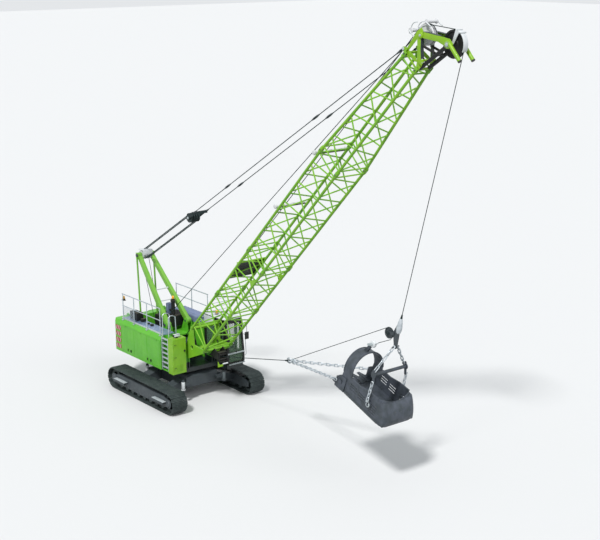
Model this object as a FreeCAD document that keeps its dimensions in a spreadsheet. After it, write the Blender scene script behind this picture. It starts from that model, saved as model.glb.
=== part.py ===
import FreeCAD, Part
import math
import os
import types

# Cable excavator: a crawler crane with a lattice boom, rigged with a dragline bucket.
# Millimetres. +X is forward, +Y is the machine's left, +Z is up.
# The origin is on the ground, on the slewing axis.

SIZES = {
    # crawlers
    "track_length": 5000, "track_height": 900, "track_gauge": 3800, "shoe_width": 700,
    "shoe_thickness": 45, "link_depth": 75, "shoe_groove": 20, "shoe_count": 60,
    "wheel_width": 380, "roller_radius": 110, "roller_count": 8, "carrier_radius": 55,
    "frame_half_width": 270, "frame_plate": 25, "frame_bottom": 240, "frame_top": 665,
    "beam_bottom": 360, "step_width": 850, "step_depth": 190, "step_height": 500,
    # carbody and slewing ring
    "carbody_length": 2400, "carbody_width": 1500, "carbody_bottom": 480, "carbody_top": 1050,
    "cross_beam_length": 460, "cross_beam_offset": 880, "ring_radius": 780, "ring_inner": 560,
    "ring_height": 100, "ring_seat": 50, "jack_radius": 60, "jack_height": 420,
    # slewing platform
    "deck_front": 1180, "deck_half_width": 700, "deck_height": 170,
    "lug_thickness": 50, "lug_radius": 140, "cheek_thickness": 40,
    # house
    "house_half_width": 1430, "house_bottom": 1280, "house_top": 2700, "tail_radius": 3170,
    "counterweight_length": 420, "house_front": 420, "house_inner": 740, "sheet": 30,
    "lift_eye_radius": 42, "crease_drop": 190, "crease_inset": 70, "flank_door_gap": 12,
    "box_front": 1300, "box_length": 330, "box_inner": 810, "box_top": 2760,
    "ladder_width": 440, "rung_radius": 16, "rung_count": 7,
    "cooler_rear": 1650, "cooler_front": 850, "cooler_top": 2960, "stack_height": 590,
    "hood_rear": 1850, "hood_front": 120, "hood_height": 300,
    "rail_height": 1110, "rail_radius": 20, "walkway_thickness": 30,
    # gantry (A-frame)
    "gantry_foot_x": -470, "gantry_foot_z": 2800, "gantry_foot_y": 500,
    "gantry_bend_x": -1900, "gantry_bend_z": 4300, "gantry_bend_y": 400,
    "gantry_top_x": -2830, "gantry_top_z": 5240, "gantry_top_y": 290,
    "gantry_leg_depth": 230, "gantry_leg_width": 150, "gantry_tip_depth": 170,
    "gantry_strut_radius": 38, "gantry_strut_inset": 135, "stay_sheave_radius": 190, "stay_rope_radius": 11,
    # cab
    "cab_rear": 320, "cab_front": 1960, "cab_inner": 780, "cab_outer": 1620,
    "cab_bottom": 1370, "cab_top": 3230, "cab_wall": 60, "cab_rake": 170, "cab_sill": 480, "pane": 12,
    # boom
    "boom_pivot_x": 1030, "boom_pivot_z": 1850, "boom_angle": 45.4,
    "boom_half_width": 635, "boom_half_depth": 543, "chord_radius": 50, "brace_radius": 26,
    "foot_length": 3860, "middle_length": 2960, "main_length": 5900, "top_length": 4920,
    "foot_plate_length": 1300, "foot_hub_radius": 130, "pin_radius": 45,
    "head_half_width": 290, "head_half_depth": 340,
    "point_sheave_ahead": 1530, "point_sheave_n": -680, "point_sheave_radius": 430,
    "guide_sheave_ahead": 880, "guide_sheave_n": 285, "guide_sheave_radius": 325, "guide_sheave_y": 65,
    "head_strut_radius": 45, "prong_length": 690, "prong_radius": 55,
    "sheave_width": 70, "point_sheave_width": 90, "head_plate": 25,
    "guard_s": 4750, "guard_length": 1080, "guard_sheet": 12,
    "roller_low_s": 9340, "roller_high_s": 12400, "guide_roller_radius": 45,
    # stays
    "bridle_x": 870, "bridle_z": 7460, "pendant_y": 300, "pendant_radius": 16,
    "pendant_end_ahead": 50, "pendant_end_n": 500,
    # fairlead and drag line
    "fairlead_x": 2700, "fairlead_z": 2120, "fairlead_roller_radius": 42,
    "fairlead_roller_length": 290, "drag_rope_radius": 14, "drag_rope_clearance": 45,
    "yoke_x": 7050, "yoke_z": 3080, "yoke_half_width": 130,
    # hoist line, hanger and spreader
    "hoist_rope_radius": 13, "socket_x": 12860, "socket_z": 5900, "hanger_x": 12650,
    "hanger_z": 5020, "block_x": 12440, "block_z": 5430, "block_radius": 190,
    "spreader_x": 12380, "spreader_z": 4120, "spreader_half_width": 710, "spreader_radius": 60,
    # bucket, in its own level frame about the trunnion
    "trunnion_x": 12150, "trunnion_z": 3020, "bucket_tilt": 20.9, "bucket_half_width": 710,
    "bucket_wall": 28, "bucket_floor": 400, "bucket_front": 1660, "bucket_rear": 830,
    "bucket_rear_top": 470, "bucket_rear_lean": 380, "bucket_corner": 220, "bucket_heel": 180,
    "bucket_side_top": 430, "bucket_scoop": 150,
    "bucket_side_dip": 330, "slot_length": 330, "slot_height": 42, "slot_pitch": 98,
    "arch_x": 1290, "arch_z": 380, "arch_lean": 12, "arch_width": 430, "arch_plate": 40,
    "hitch_x": 1640, "hitch_z": 100, "tooth_length": 260, "tooth_count": 5, "trunnion_radius": 45,
    "eye_plate": 30, "link_bar": 30, "link_width": 100, "link_length": 190, "chain_pin_radius": 18,
    # shared clearances
    "seat_gap": 0.3, "pin_clearance": 0.05, "door_gap": 6,
}

doc = FreeCAD.newDocument("CableExcavator")
sheet = doc.addObject("Spreadsheet::Sheet", "Sizes")
for row, (alias, value) in enumerate(SIZES.items(), 1):
    sheet.set("A%d" % row, alias)
    sheet.set("B%d" % row, str(value))
    sheet.setAlias("B%d" % row, alias)
doc.recompute()
d = types.SimpleNamespace(**{alias: float(sheet.get(alias)) for alias in SIZES})

V = FreeCAD.Vector
X, Y, Z = V(1, 0, 0), V(0, 1, 0), V(0, 0, 1)
sub_parts = []


# ---------------------------------------------------------------- document helpers

def publish(obj, label):
    obj.Label = label
    sub_parts.append(obj)
    return obj


def feature(label, shape, placement=None):
    """A sub-part whose shape is worked out in code from the sheet's sizes."""
    obj = doc.addObject("Part::Feature", label)
    obj.Shape = shape
    if placement is not None:
        obj.Placement = placement.multiply(shape.Placement)
    return publish(obj, label)


def linked(text):
    """An expression in which each size's name becomes a reference to its cell."""
    words = []
    word = ""
    for letter in text + " ":
        if letter.isalnum() or letter == "_":
            word += letter
            continue
        words.append("Sizes." + word if word in SIZES else word)
        words.append(letter)
        word = ""
    return "".join(words).strip()


def primitive(kind, label, at, **sizes):
    """A Part primitive whose sizes and place are bound to the sheet."""
    obj = doc.addObject(kind, label)
    for name, text in sizes.items():
        obj.setExpression(name, linked(text))
    for axis, text in zip("xyz", at):
        obj.setExpression("Placement.Base." + axis, linked(text))
    return obj


# ---------------------------------------------------------------- shape helpers

def box(x0, x1, y0, y1, z0, z1):
    corner = V(min(x0, x1), min(y0, y1), min(z0, z1))
    return Part.makeBox(abs(x1 - x0), abs(y1 - y0), abs(z1 - z0), corner)


def rod(start, end, radius):
    along = end - start
    return Part.makeCylinder(radius, along.Length, start, along)


def bar(start, end, radius, sides=6, aside=None):
    """A straight bar with a regular section, plainer than a cylinder."""
    run = end - start
    length = run.Length
    run.normalize()
    if aside is None:
        aside = run.cross(Z if abs(run.z) < 0.9 else X).normalize()
    up = run.cross(aside)
    corners = []
    for i in range(sides + 1):
        turn = 2 * math.pi * (i + 0.5) / sides
        corners.append(start + aside * (radius * math.cos(turn)) + up * (radius * math.sin(turn)))
    return Part.Face(Part.makePolygon(corners)).extrude(run * length)


def taper(start, along, length, radius, end_radius):
    """A rope socket's many-sided cone."""
    wires = []
    for share, size in ((0, radius), (1, end_radius)):
        middle = start + along * (share * length)
        up = along.cross(Y)
        turns = [2 * math.pi * (k + 0.5) / 12 for k in range(13)]
        wires.append(Part.makePolygon([middle + Y * (size * math.cos(a)) + up * (size * math.sin(a)) for a in turns]))
    return Part.makeLoft(wires, True, True)


def plate(points, y0, y1):
    """A profile in XZ, as (x, z) pairs, extruded from y0 to y1."""
    corners = [V(x, y0, z) for x, z in points]
    return Part.Face(Part.makePolygon(corners + corners[:1])).extrude(V(0, y1 - y0, 0))


def disc(x, z, y0, y1, radius):
    return Part.makeCylinder(radius, y1 - y0, V(x, y0, z), Y)


def drum(x, z, y0, y1, radius, sides=12):
    """A many-sided disc about Y, with one of its flats at the bottom, a radius from its axis."""
    corners = []
    for k in range(sides):
        angle = 2 * math.pi * (k + 0.5) / sides - math.pi / 2
        reach = radius / math.cos(math.pi / sides)
        corners.append((x + reach * math.cos(angle), z + reach * math.sin(angle)))
    return plate(corners, y0, y1)


def ring(x, z, y0, y1, outer, inner):
    return disc(x, z, y0, y1, outer).cut(disc(x, z, y0, y1, inner))


def fused(shapes):
    return shapes[0].multiFuse(shapes[1:]).removeSplitter() if len(shapes) > 1 else shapes[0]


def mirrored(shape):
    """The same shape on the other side of the machine."""
    return shape.mirror(V(0, 0, 0), Y)


def both_sides(shapes):
    return [*shapes, *[mirrored(shape) for shape in shapes]]


def rounded(shape, radius, chosen):
    edges = [edge for edge in shape.Edges if chosen(edge)]
    return shape.makeFillet(radius, edges)


groove_depth = 0.28
groove_half = 0.35


def rope_seat(radius, width, rope):
    """How far from a sheave's centre a rope lies when it rests in the groove."""
    wall = math.atan2(groove_half, groove_depth)
    return radius - groove_depth * width + rope / math.sin(wall)


def sheave(x, z, y, width, radius, bore, facing, sides=20, dished=True):
    """A many-sided grooved rope wheel about Y, with one of its flats towards the rope."""
    half = width / 2
    rim = [(radius, -half), (radius, -groove_half * width), (radius - groove_depth * width, 0),
           (radius, groove_half * width), (radius, half)]
    web = []
    if dished:
        web = [(0.86 * radius, half), (0.80 * radius, 0.25 * half), (0.40 * radius, 0.25 * half),
               (0.34 * radius, half)]
    profile = [(bore, -half), *[(r, -side) for r, side in reversed(web)], *rim, *web, (bore, half)]
    first = math.atan2(facing.z, facing.x) + math.pi / sides
    stretch = 1 / math.cos(math.pi / sides)
    loops = []
    for r, side in profile:
        turns = [first + 2 * math.pi * k / sides for k in range(sides)]
        loops.append([V(x + r * stretch * math.cos(a), y + side, z + r * stretch * math.sin(a)) for a in turns])
    faces = []
    for k in range(sides):
        ahead = (k + 1) % sides
        for loop, other in zip(loops, loops[1:] + loops[:1]):
            corners = [loop[k], loop[ahead], other[ahead], other[k]]
            faces.append(Part.Face(Part.makePolygon(corners + corners[:1])))
    wheel = Part.Solid(Part.Shell(faces))
    if wheel.Volume < 0:
        wheel.reverse()
    return wheel.removeSplitter()


# ---------------------------------------------------------------- crawlers

wheel_x = (d.track_length - d.track_height) / 2
axle_z = d.track_height / 2
belt = d.shoe_thickness + d.link_depth
wheel_radius = axle_z - belt - d.seat_gap
track_y = d.track_gauge / 2


def on_loop(distance, radius):
    """The point of the shoe loop at a distance along it, and at a radius from the axles."""
    straight = 2 * wheel_x
    turn = math.pi * axle_z
    distance %= 2 * (straight + turn)
    if distance < straight:
        return -wheel_x + distance, axle_z - radius
    distance -= straight
    if distance < turn:
        angle = distance / axle_z - math.pi / 2
        return wheel_x + radius * math.cos(angle), axle_z + radius * math.sin(angle)
    distance -= turn
    if distance < straight:
        return wheel_x - distance, axle_z + radius
    angle = (distance - straight) / axle_z + math.pi / 2
    return -wheel_x + radius * math.cos(angle), axle_z + radius * math.sin(angle)


def crawler_loop():
    """The endless chain of shoes: each is a plate with a groove on either side."""
    count = int(d.shoe_count)
    pitch = 2 * (2 * wheel_x + math.pi * axle_z) / count
    low = axle_z - d.shoe_groove
    outline = []
    for i in range(count):
        start = i * pitch
        outline.append(on_loop(start + 0.03 * pitch, low))
        outline.append(on_loop(start + 0.07 * pitch, axle_z))
        outline.append(on_loop(start + 0.93 * pitch, axle_z))
        outline.append(on_loop(start + 0.97 * pitch, low))
    half = d.shoe_width / 2
    inner = axle_z - belt
    hole = box(-wheel_x, wheel_x, -half, half, axle_z - inner, axle_z + inner)
    hole = fused([hole, disc(-wheel_x, axle_z, -half, half, inner), disc(wheel_x, axle_z, -half, half, inner)])
    return plate(outline, -half, half).cut(hole)


def crawler_wheels():
    """Sprocket, idler, bottom rollers and carrier rollers of one crawler."""
    half = d.wheel_width / 2
    reach = d.frame_half_width - d.frame_plate - d.seat_gap
    shapes = []
    for x in (-wheel_x, wheel_x):
        rim = ring(x, axle_z, -half, half, wheel_radius, 0.72 * wheel_radius)
        web = disc(x, axle_z, -0.3 * half, 0.3 * half, 0.75 * wheel_radius)
        shapes.append(fused([rim, web, disc(x, axle_z, -reach, reach, 0.28 * wheel_radius)]))
    count = int(d.roller_count)
    span = 2 * (wheel_x - wheel_radius - d.roller_radius - 40)
    for i in range(count):
        x = -span / 2 + span * i / (count - 1)
        shapes.append(drum(x, belt + d.seat_gap + d.roller_radius, -reach, reach, d.roller_radius))
    for x in (-0.25 * span, 0.25 * span):
        z = d.track_height - belt - d.seat_gap - d.carrier_radius
        shapes.append(drum(x, z, -0.5 * half, 0.5 * half, d.carrier_radius, 8))
    return shapes


def crawler_frame():
    """A box beam between two side plates that reach out to the axles."""
    half = d.frame_half_width
    beam_x = wheel_x - wheel_radius - 30
    top = d.track_height - belt - d.seat_gap - 2 * d.carrier_radius - 6
    beam = box(-beam_x, beam_x, -half + d.frame_plate, half - d.frame_plate, d.beam_bottom, min(top, d.frame_top))
    nose = wheel_x + 0.42 * wheel_radius
    side = [
        (-nose, axle_z - 110), (-beam_x, d.frame_bottom), (beam_x, d.frame_bottom), (nose, axle_z - 110),
        (nose, axle_z + 110), (beam_x, d.frame_top), (-beam_x, d.frame_top), (-nose, axle_z + 110),
    ]
    plates = [plate(side, half - d.frame_plate, half), plate(side, -half, -half + d.frame_plate)]
    caps = [disc(x, axle_z, half, half + 35, 105) for x in (-wheel_x, wheel_x)]
    for i in range(2):
        x = (2 * i - 1) * 0.25 * 2 * beam_x
        caps.append(box(x - 60, x + 60, -70, 70, top - 1, d.track_height - belt - 2 * d.carrier_radius - d.seat_gap))
    return fused([beam, *plates, *caps])


def crawler_steps():
    """Two light tread plates on brackets, outside one crawler frame."""
    inner = d.frame_half_width + d.seat_gap
    outer = inner + d.step_depth
    shapes = []
    for x in (-1430, 1480):
        half = d.step_width / 2
        tread = box(x - half, x + half, inner, outer, d.step_height - 30, d.step_height)
        lip = box(x - half, x + half, outer - 20, outer, d.step_height - 90, d.step_height)
        webs = [box(x + k * half - 10, x + k * half + 10, inner, outer, d.step_height - 90, d.step_height)
                for k in (-0.8, 0.8)]
        shapes.append(fused([tread, lip, *webs]))
    return shapes


def crawlers():
    loop = crawler_loop()
    wheels = Part.makeCompound(crawler_wheels())
    frame = crawler_frame()
    for name, side in (("right", -1), ("left", 1)):
        place = FreeCAD.Placement(V(0, side * track_y, 0), FreeCAD.Rotation())
        feature("track_" + name, loop, place)
        feature("track_wheels_" + name, wheels, place)
        steps = crawler_steps()
        shapes = [frame, *steps]
        if side < 0:
            shapes = [mirrored(shape) for shape in shapes]
        feature("track_frame_" + name, Part.makeCompound(shapes), place)


# ---------------------------------------------------------------- carbody and slewing ring

def carbody():
    half_length = d.carbody_length / 2
    half_width = d.carbody_width / 2
    profile = [
        (-half_length, d.carbody_bottom + 90), (-half_length + 120, d.carbody_bottom),
        (half_length - 120, d.carbody_bottom), (half_length, d.carbody_bottom + 90),
        (half_length, d.carbody_top - 60), (half_length - 200, d.carbody_top),
        (-half_length + 200, d.carbody_top), (-half_length, d.carbody_top - 60),
    ]
    shapes = [plate(profile, -half_width, half_width)]
    reach = track_y - d.frame_half_width
    for x in (-d.cross_beam_offset, d.cross_beam_offset):
        half = d.cross_beam_length / 2
        corners = [
            V(x - half, half_width - 50, d.carbody_bottom), V(x - half, reach, d.beam_bottom + 20),
            V(x - half, reach, d.frame_top - 15), V(x - half, half_width - 50, d.carbody_top - 120),
        ]
        beam = Part.Face(Part.makePolygon(corners + corners[:1])).extrude(V(2 * half, 0, 0))
        shapes += both_sides([beam])
    shapes.append(Part.makeCylinder(d.ring_radius - 60, d.ring_seat, V(0, 0, d.carbody_top)))
    feature("carbody", Part.makeCompound([fused(shapes), *carbody_jacks()]))


def carbody_jacks():
    """Four short assembly jacks at the corners of the carbody."""
    shapes = []
    for x in (-1, 1):
        centre = V(x * (d.carbody_length / 2 + d.jack_radius + 90), 1000, 560)
        post = bar(centre, centre + V(0, 0, d.jack_height), d.jack_radius, 10)
        foot = bar(centre - V(0, 0, 30), centre, 1.6 * d.jack_radius, 12)
        arm = box(x * (d.carbody_length / 2 + d.seat_gap), centre.x, 640, 1000, 700, 820)
        shapes.append(fused([post, foot, arm]))
    return both_sides(shapes)


ring_bottom = d.carbody_top + d.ring_seat + d.seat_gap
deck_bottom = ring_bottom + d.ring_height
deck_top = deck_bottom + d.deck_height


def slew_ring():
    outer = primitive("Part::Cylinder", "ring_outer", ("0", "0", "carbody_top + ring_seat + seat_gap"),
                      Radius="ring_radius", Height="ring_height")
    inner = primitive("Part::Cylinder", "ring_bore", ("0", "0", "carbody_top + ring_seat + seat_gap"),
                      Radius="ring_inner", Height="ring_height")
    cut = doc.addObject("Part::Cut", "ring")
    cut.Base = outer
    cut.Tool = inner
    publish(cut, "slew_ring")


# ---------------------------------------------------------------- slewing platform

pivot = V(d.boom_pivot_x, 0, d.boom_pivot_z)
foot_inner = d.boom_half_width - 45
foot_outer = d.boom_half_width + 15


deck_rear = d.tail_radius - d.counterweight_length


def deck():
    """Platform with the boom-foot lugs in front and the gantry's cheeks behind."""
    shapes = [box(-deck_rear, d.deck_front, -d.deck_half_width, d.deck_half_width, deck_bottom, deck_top)]
    lug = [(pivot.x - 420, deck_top - 20), (pivot.x + 140, deck_top - 20), (pivot.x + 140, pivot.z), (pivot.x - 140, pivot.z)]
    for y0 in (foot_inner - d.seat_gap - d.lug_thickness, foot_outer + d.seat_gap):
        shape = fused([plate(lug, y0, y0 + d.lug_thickness), disc(pivot.x, pivot.z, y0, y0 + d.lug_thickness, d.lug_radius)])
        shape = shape.cut(disc(pivot.x, pivot.z, y0 - 1, y0 + d.lug_thickness + 1, d.pin_radius + d.pin_clearance))
        shapes += both_sides([shape])
    gx, gz, gy = d.gantry_foot_x, d.gantry_foot_z, d.gantry_foot_y
    cheek = [(gx - 750, deck_top - 20), (gx + 420, deck_top - 20), (gx + 110, gz - 60), (gx + 60, gz + 60),
             (gx - 60, gz + 90), (gx - 140, gz - 60)]
    gap = d.gantry_leg_width / 2 + 22
    for y0 in (gy - gap - d.cheek_thickness, gy + gap):
        side = plate(cheek, y0, y0 + d.cheek_thickness)
        hole = disc(gx, gz, y0 - 1, y0 + d.cheek_thickness + 1, d.pin_radius + d.pin_clearance)
        shapes += both_sides([side.cut(hole)])
    sill = [(gx - 500, gz - 520), (gx + 240, gz - 520), (gx + 240, gz - 460), (gx - 500, gz - 460)]
    shapes.append(plate(sill, -gy - gap, gy + gap))
    shapes.append(box(d.cab_rear + 40, d.cab_front - 60, d.cab_inner, d.cab_outer - 40, deck_bottom, d.cab_bottom))
    shapes.append(box(d.cab_rear + 40, d.deck_front, d.deck_half_width, d.cab_inner, deck_bottom, deck_top))
    pins = [disc(pivot.x, pivot.z, foot_inner - d.seat_gap - d.lug_thickness - 20,
                 foot_outer + d.seat_gap + d.lug_thickness + 20, d.pin_radius)]
    feature("deck", Part.makeCompound([fused(shapes), *both_sides(pins)]))


# ---------------------------------------------------------------- house

house_rear = -d.tail_radius + d.counterweight_length
flank = -d.house_half_width
crease_z = d.house_top - d.crease_drop


def house_section(outer, inner, low, top):
    """The house's cross section in YZ: its upper outer edge leans inward above a crease."""
    return [(inner, low), (outer, low), (outer, top - d.crease_drop), (outer - d.crease_inset, top - 20),
            (outer - d.crease_inset - 60, top), (inner, top)]


def along_x(points, x0, x1):
    corners = [V(x0, y, z) for y, z in points]
    return Part.Face(Part.makePolygon(corners + corners[:1])).extrude(V(x1 - x0, 0, 0))


def counterweight():
    section = house_section(d.house_half_width, 0, d.house_bottom, d.house_top - 40)
    half = along_x(section, -d.tail_radius, house_rear)
    block = fused(both_sides([half]))
    tail = d.tail_radius
    block = rounded(block, 90, lambda e: e.BoundBox.XLength < 1 and abs(e.BoundBox.XMin + tail) < 1
                    and e.BoundBox.ZLength > 500)
    slot = box(-tail - 1, -tail + 60, -260, 260, 2300, d.house_top)
    eye_z = d.house_top - 40 + 62
    eyes = [ring(-tail + 260, eye_z, y - 25, y + 25, 90, d.lift_eye_radius) for y in (-900, 900)]
    feature("counterweight", fused([block.cut(slot), *eyes]))


door_rear = house_rear + 90
door_front = d.house_front - 60
door_low = d.house_bottom + 90
door_high = crease_z - 20


side_hinge_y = flank - 14
side_hinge_half = 70
side_hinge_x = [door_rear + 300 + k * (door_front - door_rear - 600) / 2 for k in range(3)]


def house_right():
    """Right-hand engine housing, open behind its flank door."""
    outer = d.house_half_width
    wall = d.sheet
    shell = along_x(house_section(outer, d.house_inner, d.house_bottom, d.house_top), house_rear, d.house_front)
    room = along_x([(d.house_inner + wall, d.house_bottom + wall), (outer - wall, d.house_bottom + wall),
                    (outer - wall, crease_z - 30), (outer - 140, d.house_top - 70),
                    (d.house_inner + wall, d.house_top - 70)], house_rear + wall, d.house_front - wall)
    hatch = box(door_rear, door_front, outer - 2 * wall, outer + 1, door_low, door_high)
    front = d.box_front - d.box_length
    niche_floor = box(d.house_front, front, d.house_inner, outer - 60, d.house_bottom, d.house_bottom + 40)
    niche_back = box(d.house_front, front, 1080, 1110, d.house_bottom, d.house_top - 10)
    body = mirrored(fused([shell.cut(room).cut(hatch), niche_floor, niche_back]))
    leaves = []
    for x in side_hinge_x:
        for k in (-1, 1):
            a, b = x + k * (side_hinge_half + d.seat_gap), x + k * (side_hinge_half + 40)
            leaves.append(rod(V(a, side_hinge_y, door_high), V(b, side_hinge_y, door_high), 14))
            leaves.append(box(a, b, side_hinge_y - 6, flank + 1, door_high - 2, door_high + 18))
    feature("house_right", fused([body, *leaves]))


def side_door():
    """Flank door hinged along its top edge, with two pairs of latches at the bottom."""
    g = d.door_gap
    thick = d.sheet - 4
    panel = box(door_rear + g, door_front - g, flank, flank + thick, door_low + g, door_high - g)
    knuckles = []
    for x in side_hinge_x:
        a, b = V(x - side_hinge_half, side_hinge_y, door_high), V(x + side_hinge_half, side_hinge_y, door_high)
        knuckles.append(rod(a, b, 14))
        knuckles.append(box(x - 60, x + 60, flank - 12, flank + 4, door_high - 70, door_high - 6))
    latches = []
    for x in (-2080, -1900, -560, -380):
        latches.append(box(x - 26, x + 26, flank - 22, flank, door_low + 60, door_low + 150))
    feature("side_door", fused([panel, *knuckles, *latches]))


def engine():
    block = primitive("Part::Box", "engine_block", ("-tail_radius + counterweight_length + 500",
                      "-house_half_width + 130", "house_bottom + sheet"),
                      Length="1500", Width="420", Height="900")
    publish(block, "engine")


def house_left():
    """Left-hand housing with tanks, a cooler grille in the flank and a raised hood."""
    outer = d.house_half_width
    body = along_x(house_section(outer, d.house_inner, d.house_bottom, d.house_top), house_rear, d.cab_rear - 30)
    slats = []
    for k in range(9):
        z = d.house_bottom + 300 + 95 * k
        slats.append(box(house_rear + 250, house_rear + 1250, outer - 40, outer + 1, z, z + 45))
    feature("house_left", body.cut(Part.makeCompound(slats)))


def hood():
    lid = primitive("Part::Box", "hood_block", ("-hood_rear", "house_inner", "house_top"),
                    Length="hood_rear - hood_front", Width="house_half_width - crease_inset - 70 - house_inner",
                    Height="hood_height")
    doc.recompute()
    smooth = doc.addObject("Part::Fillet", "hood_round")
    smooth.Base = lid
    top = d.house_top + d.hood_height
    chosen = [i for i, e in enumerate(lid.Shape.Edges, 1) if e.BoundBox.ZMin > top - 1]
    smooth.Edges = [(i, 90.0, 90.0) for i in chosen]
    publish(smooth, "hood")


box_hinge_x = d.box_front + d.seat_gap + 44
box_hinge_y = flank - 12
box_hinge_half = 55
box_hinge_levels = (1560, 2000, 2520)


def front_box():
    """Narrow cabinet at the right front corner, open towards its door."""
    rear = d.box_front - d.box_length
    wall = d.sheet
    body = box(rear, d.box_front, flank, -d.box_inner, d.house_bottom, d.box_top)
    room = box(rear + wall, d.box_front + 1, flank + wall, -d.box_inner - wall,
               d.house_bottom + wall, d.box_top - wall)
    leaves = []
    for z in box_hinge_levels:
        for k in (-1, 1):
            a, b = z + k * (box_hinge_half + d.seat_gap), z + k * (box_hinge_half + 35)
            leaves.append(rod(V(box_hinge_x, box_hinge_y, a), V(box_hinge_x, box_hinge_y, b), 12))
            leaves.append(box(d.box_front - 70, box_hinge_x, flank - 18, flank - 6, a, b))
            leaves.append(box(d.box_front - 70, d.box_front - 10, flank - 18, flank + 1, a, b))
    feature("front_box", fused([body.cut(room), *leaves]))


def front_box_door():
    g = d.door_gap
    x = d.box_front + d.seat_gap
    panel = box(x, x + 34, flank, -d.box_inner, d.house_bottom + g, d.box_top - g)
    panel = rounded(panel, 12, lambda e: abs(e.BoundBox.XMin - x - 34) < 1)
    shapes = [panel]
    for z in box_hinge_levels:
        a, b = V(box_hinge_x, box_hinge_y, z - box_hinge_half), V(box_hinge_x, box_hinge_y, z + box_hinge_half)
        shapes.append(rod(a, b, 12))
        shapes.append(box(x + 32, x + 44, flank - 12, flank + 70, z - 45, z + 45))
    shapes.append(Part.makeCylinder(34, 26, V(x + 30, -d.box_inner - 90, 2220), X))
    feature("front_box_door", fused(shapes))


def ladder():
    """Access ladder in the niche between the flank door and the front cabinet."""
    front = d.box_front - d.box_length
    middle = (d.house_front + front) / 2
    half = d.ladder_width / 2
    y = flank + 60
    low = d.house_bottom + 40
    shapes = []
    for side in (-1, 1):
        x = middle + side * half
        shapes.append(box(x - 18, x + 18, y - 35, y + 35, low, d.house_top))
    count = int(d.rung_count)
    for k in range(count):
        z = low + (k + 0.6) * (d.house_top - low) / count
        shapes.append(box(middle - half, middle + half, y - 30, y + 30, z - 14, z + 14))
    ties = [box(middle + side * half - 18, middle + side * half + 18, y, -1110, z - 25, z + 25)
            for side in (-1, 1) for z in (low + 200, d.house_top - 200)]
    feature("ladder", fused([*shapes, *ties]))


def railing(side, rear, front, posts):
    """Top rail, knee rail and posts along one flank of the roof."""
    y = side * (d.house_half_width - 90)
    top = d.house_top + d.rail_height
    r = d.rail_radius
    roof_edge = d.house_half_width - d.crease_inset - 60
    base = d.house_top - (abs(y) - 0.86 * r - roof_edge) / 3 + d.seat_gap
    shapes = []
    for z in (d.house_top + 0.545 * d.rail_height, top):
        shapes.append(bar(V(rear, y, z), V(front, y, z), r))
    for x in posts:
        shapes.append(bar(V(x, y, base), V(x, y, top), r))
    return fused(shapes)


rail_rear = house_rear + 190


def railings():
    """Railing along both roof edges, each a little shorter than its roof."""
    right_front = d.house_front - 120
    right = railing(-1, rail_rear - 40, right_front + 40, [rail_rear, -1700, -700, right_front])
    left_front = d.cab_rear - 540
    left = railing(1, rail_rear - 60, left_front + 40, [rail_rear - 20, -1400, left_front])
    feature("railings", Part.makeCompound([right, left]))


def walkway():
    """Bright tread plate on the right-hand roof, inside the railing."""
    y0 = -(d.house_half_width - 130 - d.rail_radius)
    shape = box(house_rear + 40, d.house_front, y0, -d.house_inner - 20, d.house_top, d.house_top + d.walkway_thickness)
    feature("walkway", shape)


def winch(x, z, drum_radius, length, flange):
    """A rope drum between two flanges, on pedestals on the deck."""
    half = length / 2
    layers = drum(x, z, -half, half, drum_radius, 24)
    ends = [drum(x, z, -half - 35, -half, flange, 24), drum(x, z, half, half + 35, flange, 24)]
    feet = [box(x - 160, x + 160, k * (half + 35), k * (half + 85), deck_top, z) for k in (-1, 1)]
    hubs = both_sides([drum(x, z, half + 35, half + 85, 170)])
    return fused([layers, *ends, *feet, *hubs])


def winches():
    """Hoist drum in front, drag drum behind it, boom-hoist drum under the gantry."""
    drums = [winch(130, 2020, 230, 520, 330), winch(-640, 1880, 230, 520, 330), winch(-1900, 1800, 170, 700, 270)]
    feature("winches", Part.makeCompound(drums))


# ---------------------------------------------------------------- gantry

def gantry_leg():
    """One front leg of the A-frame: a box section that tapers and bends towards its head."""
    route = (
        (V(d.gantry_foot_x, d.gantry_foot_y, d.gantry_foot_z), d.gantry_leg_depth, 47),
        (V(d.gantry_bend_x, d.gantry_bend_y, d.gantry_bend_z), d.gantry_leg_depth, 46),
        (V(d.gantry_top_x, d.gantry_top_y, d.gantry_top_z), d.gantry_tip_depth, 45),
    )
    wires = []
    for centre, depth, lean in route:
        turn = math.radians(lean)
        across = V(math.sin(turn), 0, math.cos(turn)) * (depth / 2)
        half = V(0, d.gantry_leg_width / 2, 0)
        corners = [centre - across - half, centre + across - half, centre + across + half, centre - across + half]
        wires.append(Part.makePolygon(corners + corners[:1]))
    return Part.makeLoft(wires, True, True)


def gantry():
    half = d.gantry_top_y + d.gantry_leg_width / 2
    x, z = d.gantry_top_x, d.gantry_top_z
    legs = both_sides([gantry_leg()])
    shaft = disc(x - 10, z + 20, -half - 40, half + 40, 45)
    cross = box(-1960, -1840, -d.gantry_bend_y, d.gantry_bend_y, 4240, 4360)
    step = bar(V(-1420, -d.gantry_bend_y, 3800), V(-1420, d.gantry_bend_y, 3800), 28)
    feet = both_sides([disc(d.gantry_foot_x, d.gantry_foot_z, d.gantry_foot_y - 145,
                            d.gantry_foot_y + 145, d.pin_radius)])
    feature("gantry_legs", fused([*legs, shaft, cross, step, *feet]))


def gantry_struts():
    """Thin rear legs, from the deck's tail up to the head of the A-frame."""
    y = d.gantry_top_y + d.gantry_leg_width / 2 + 45
    foot = V(-deck_rear + d.gantry_strut_inset, y, deck_top + 2)
    head = V(d.gantry_top_x - 10, y, d.gantry_top_z - 40)
    feature("gantry_struts", Part.makeCompound(both_sides([bar(foot, head, d.gantry_strut_radius, 8)])))


stay_sheave_width = 70


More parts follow.
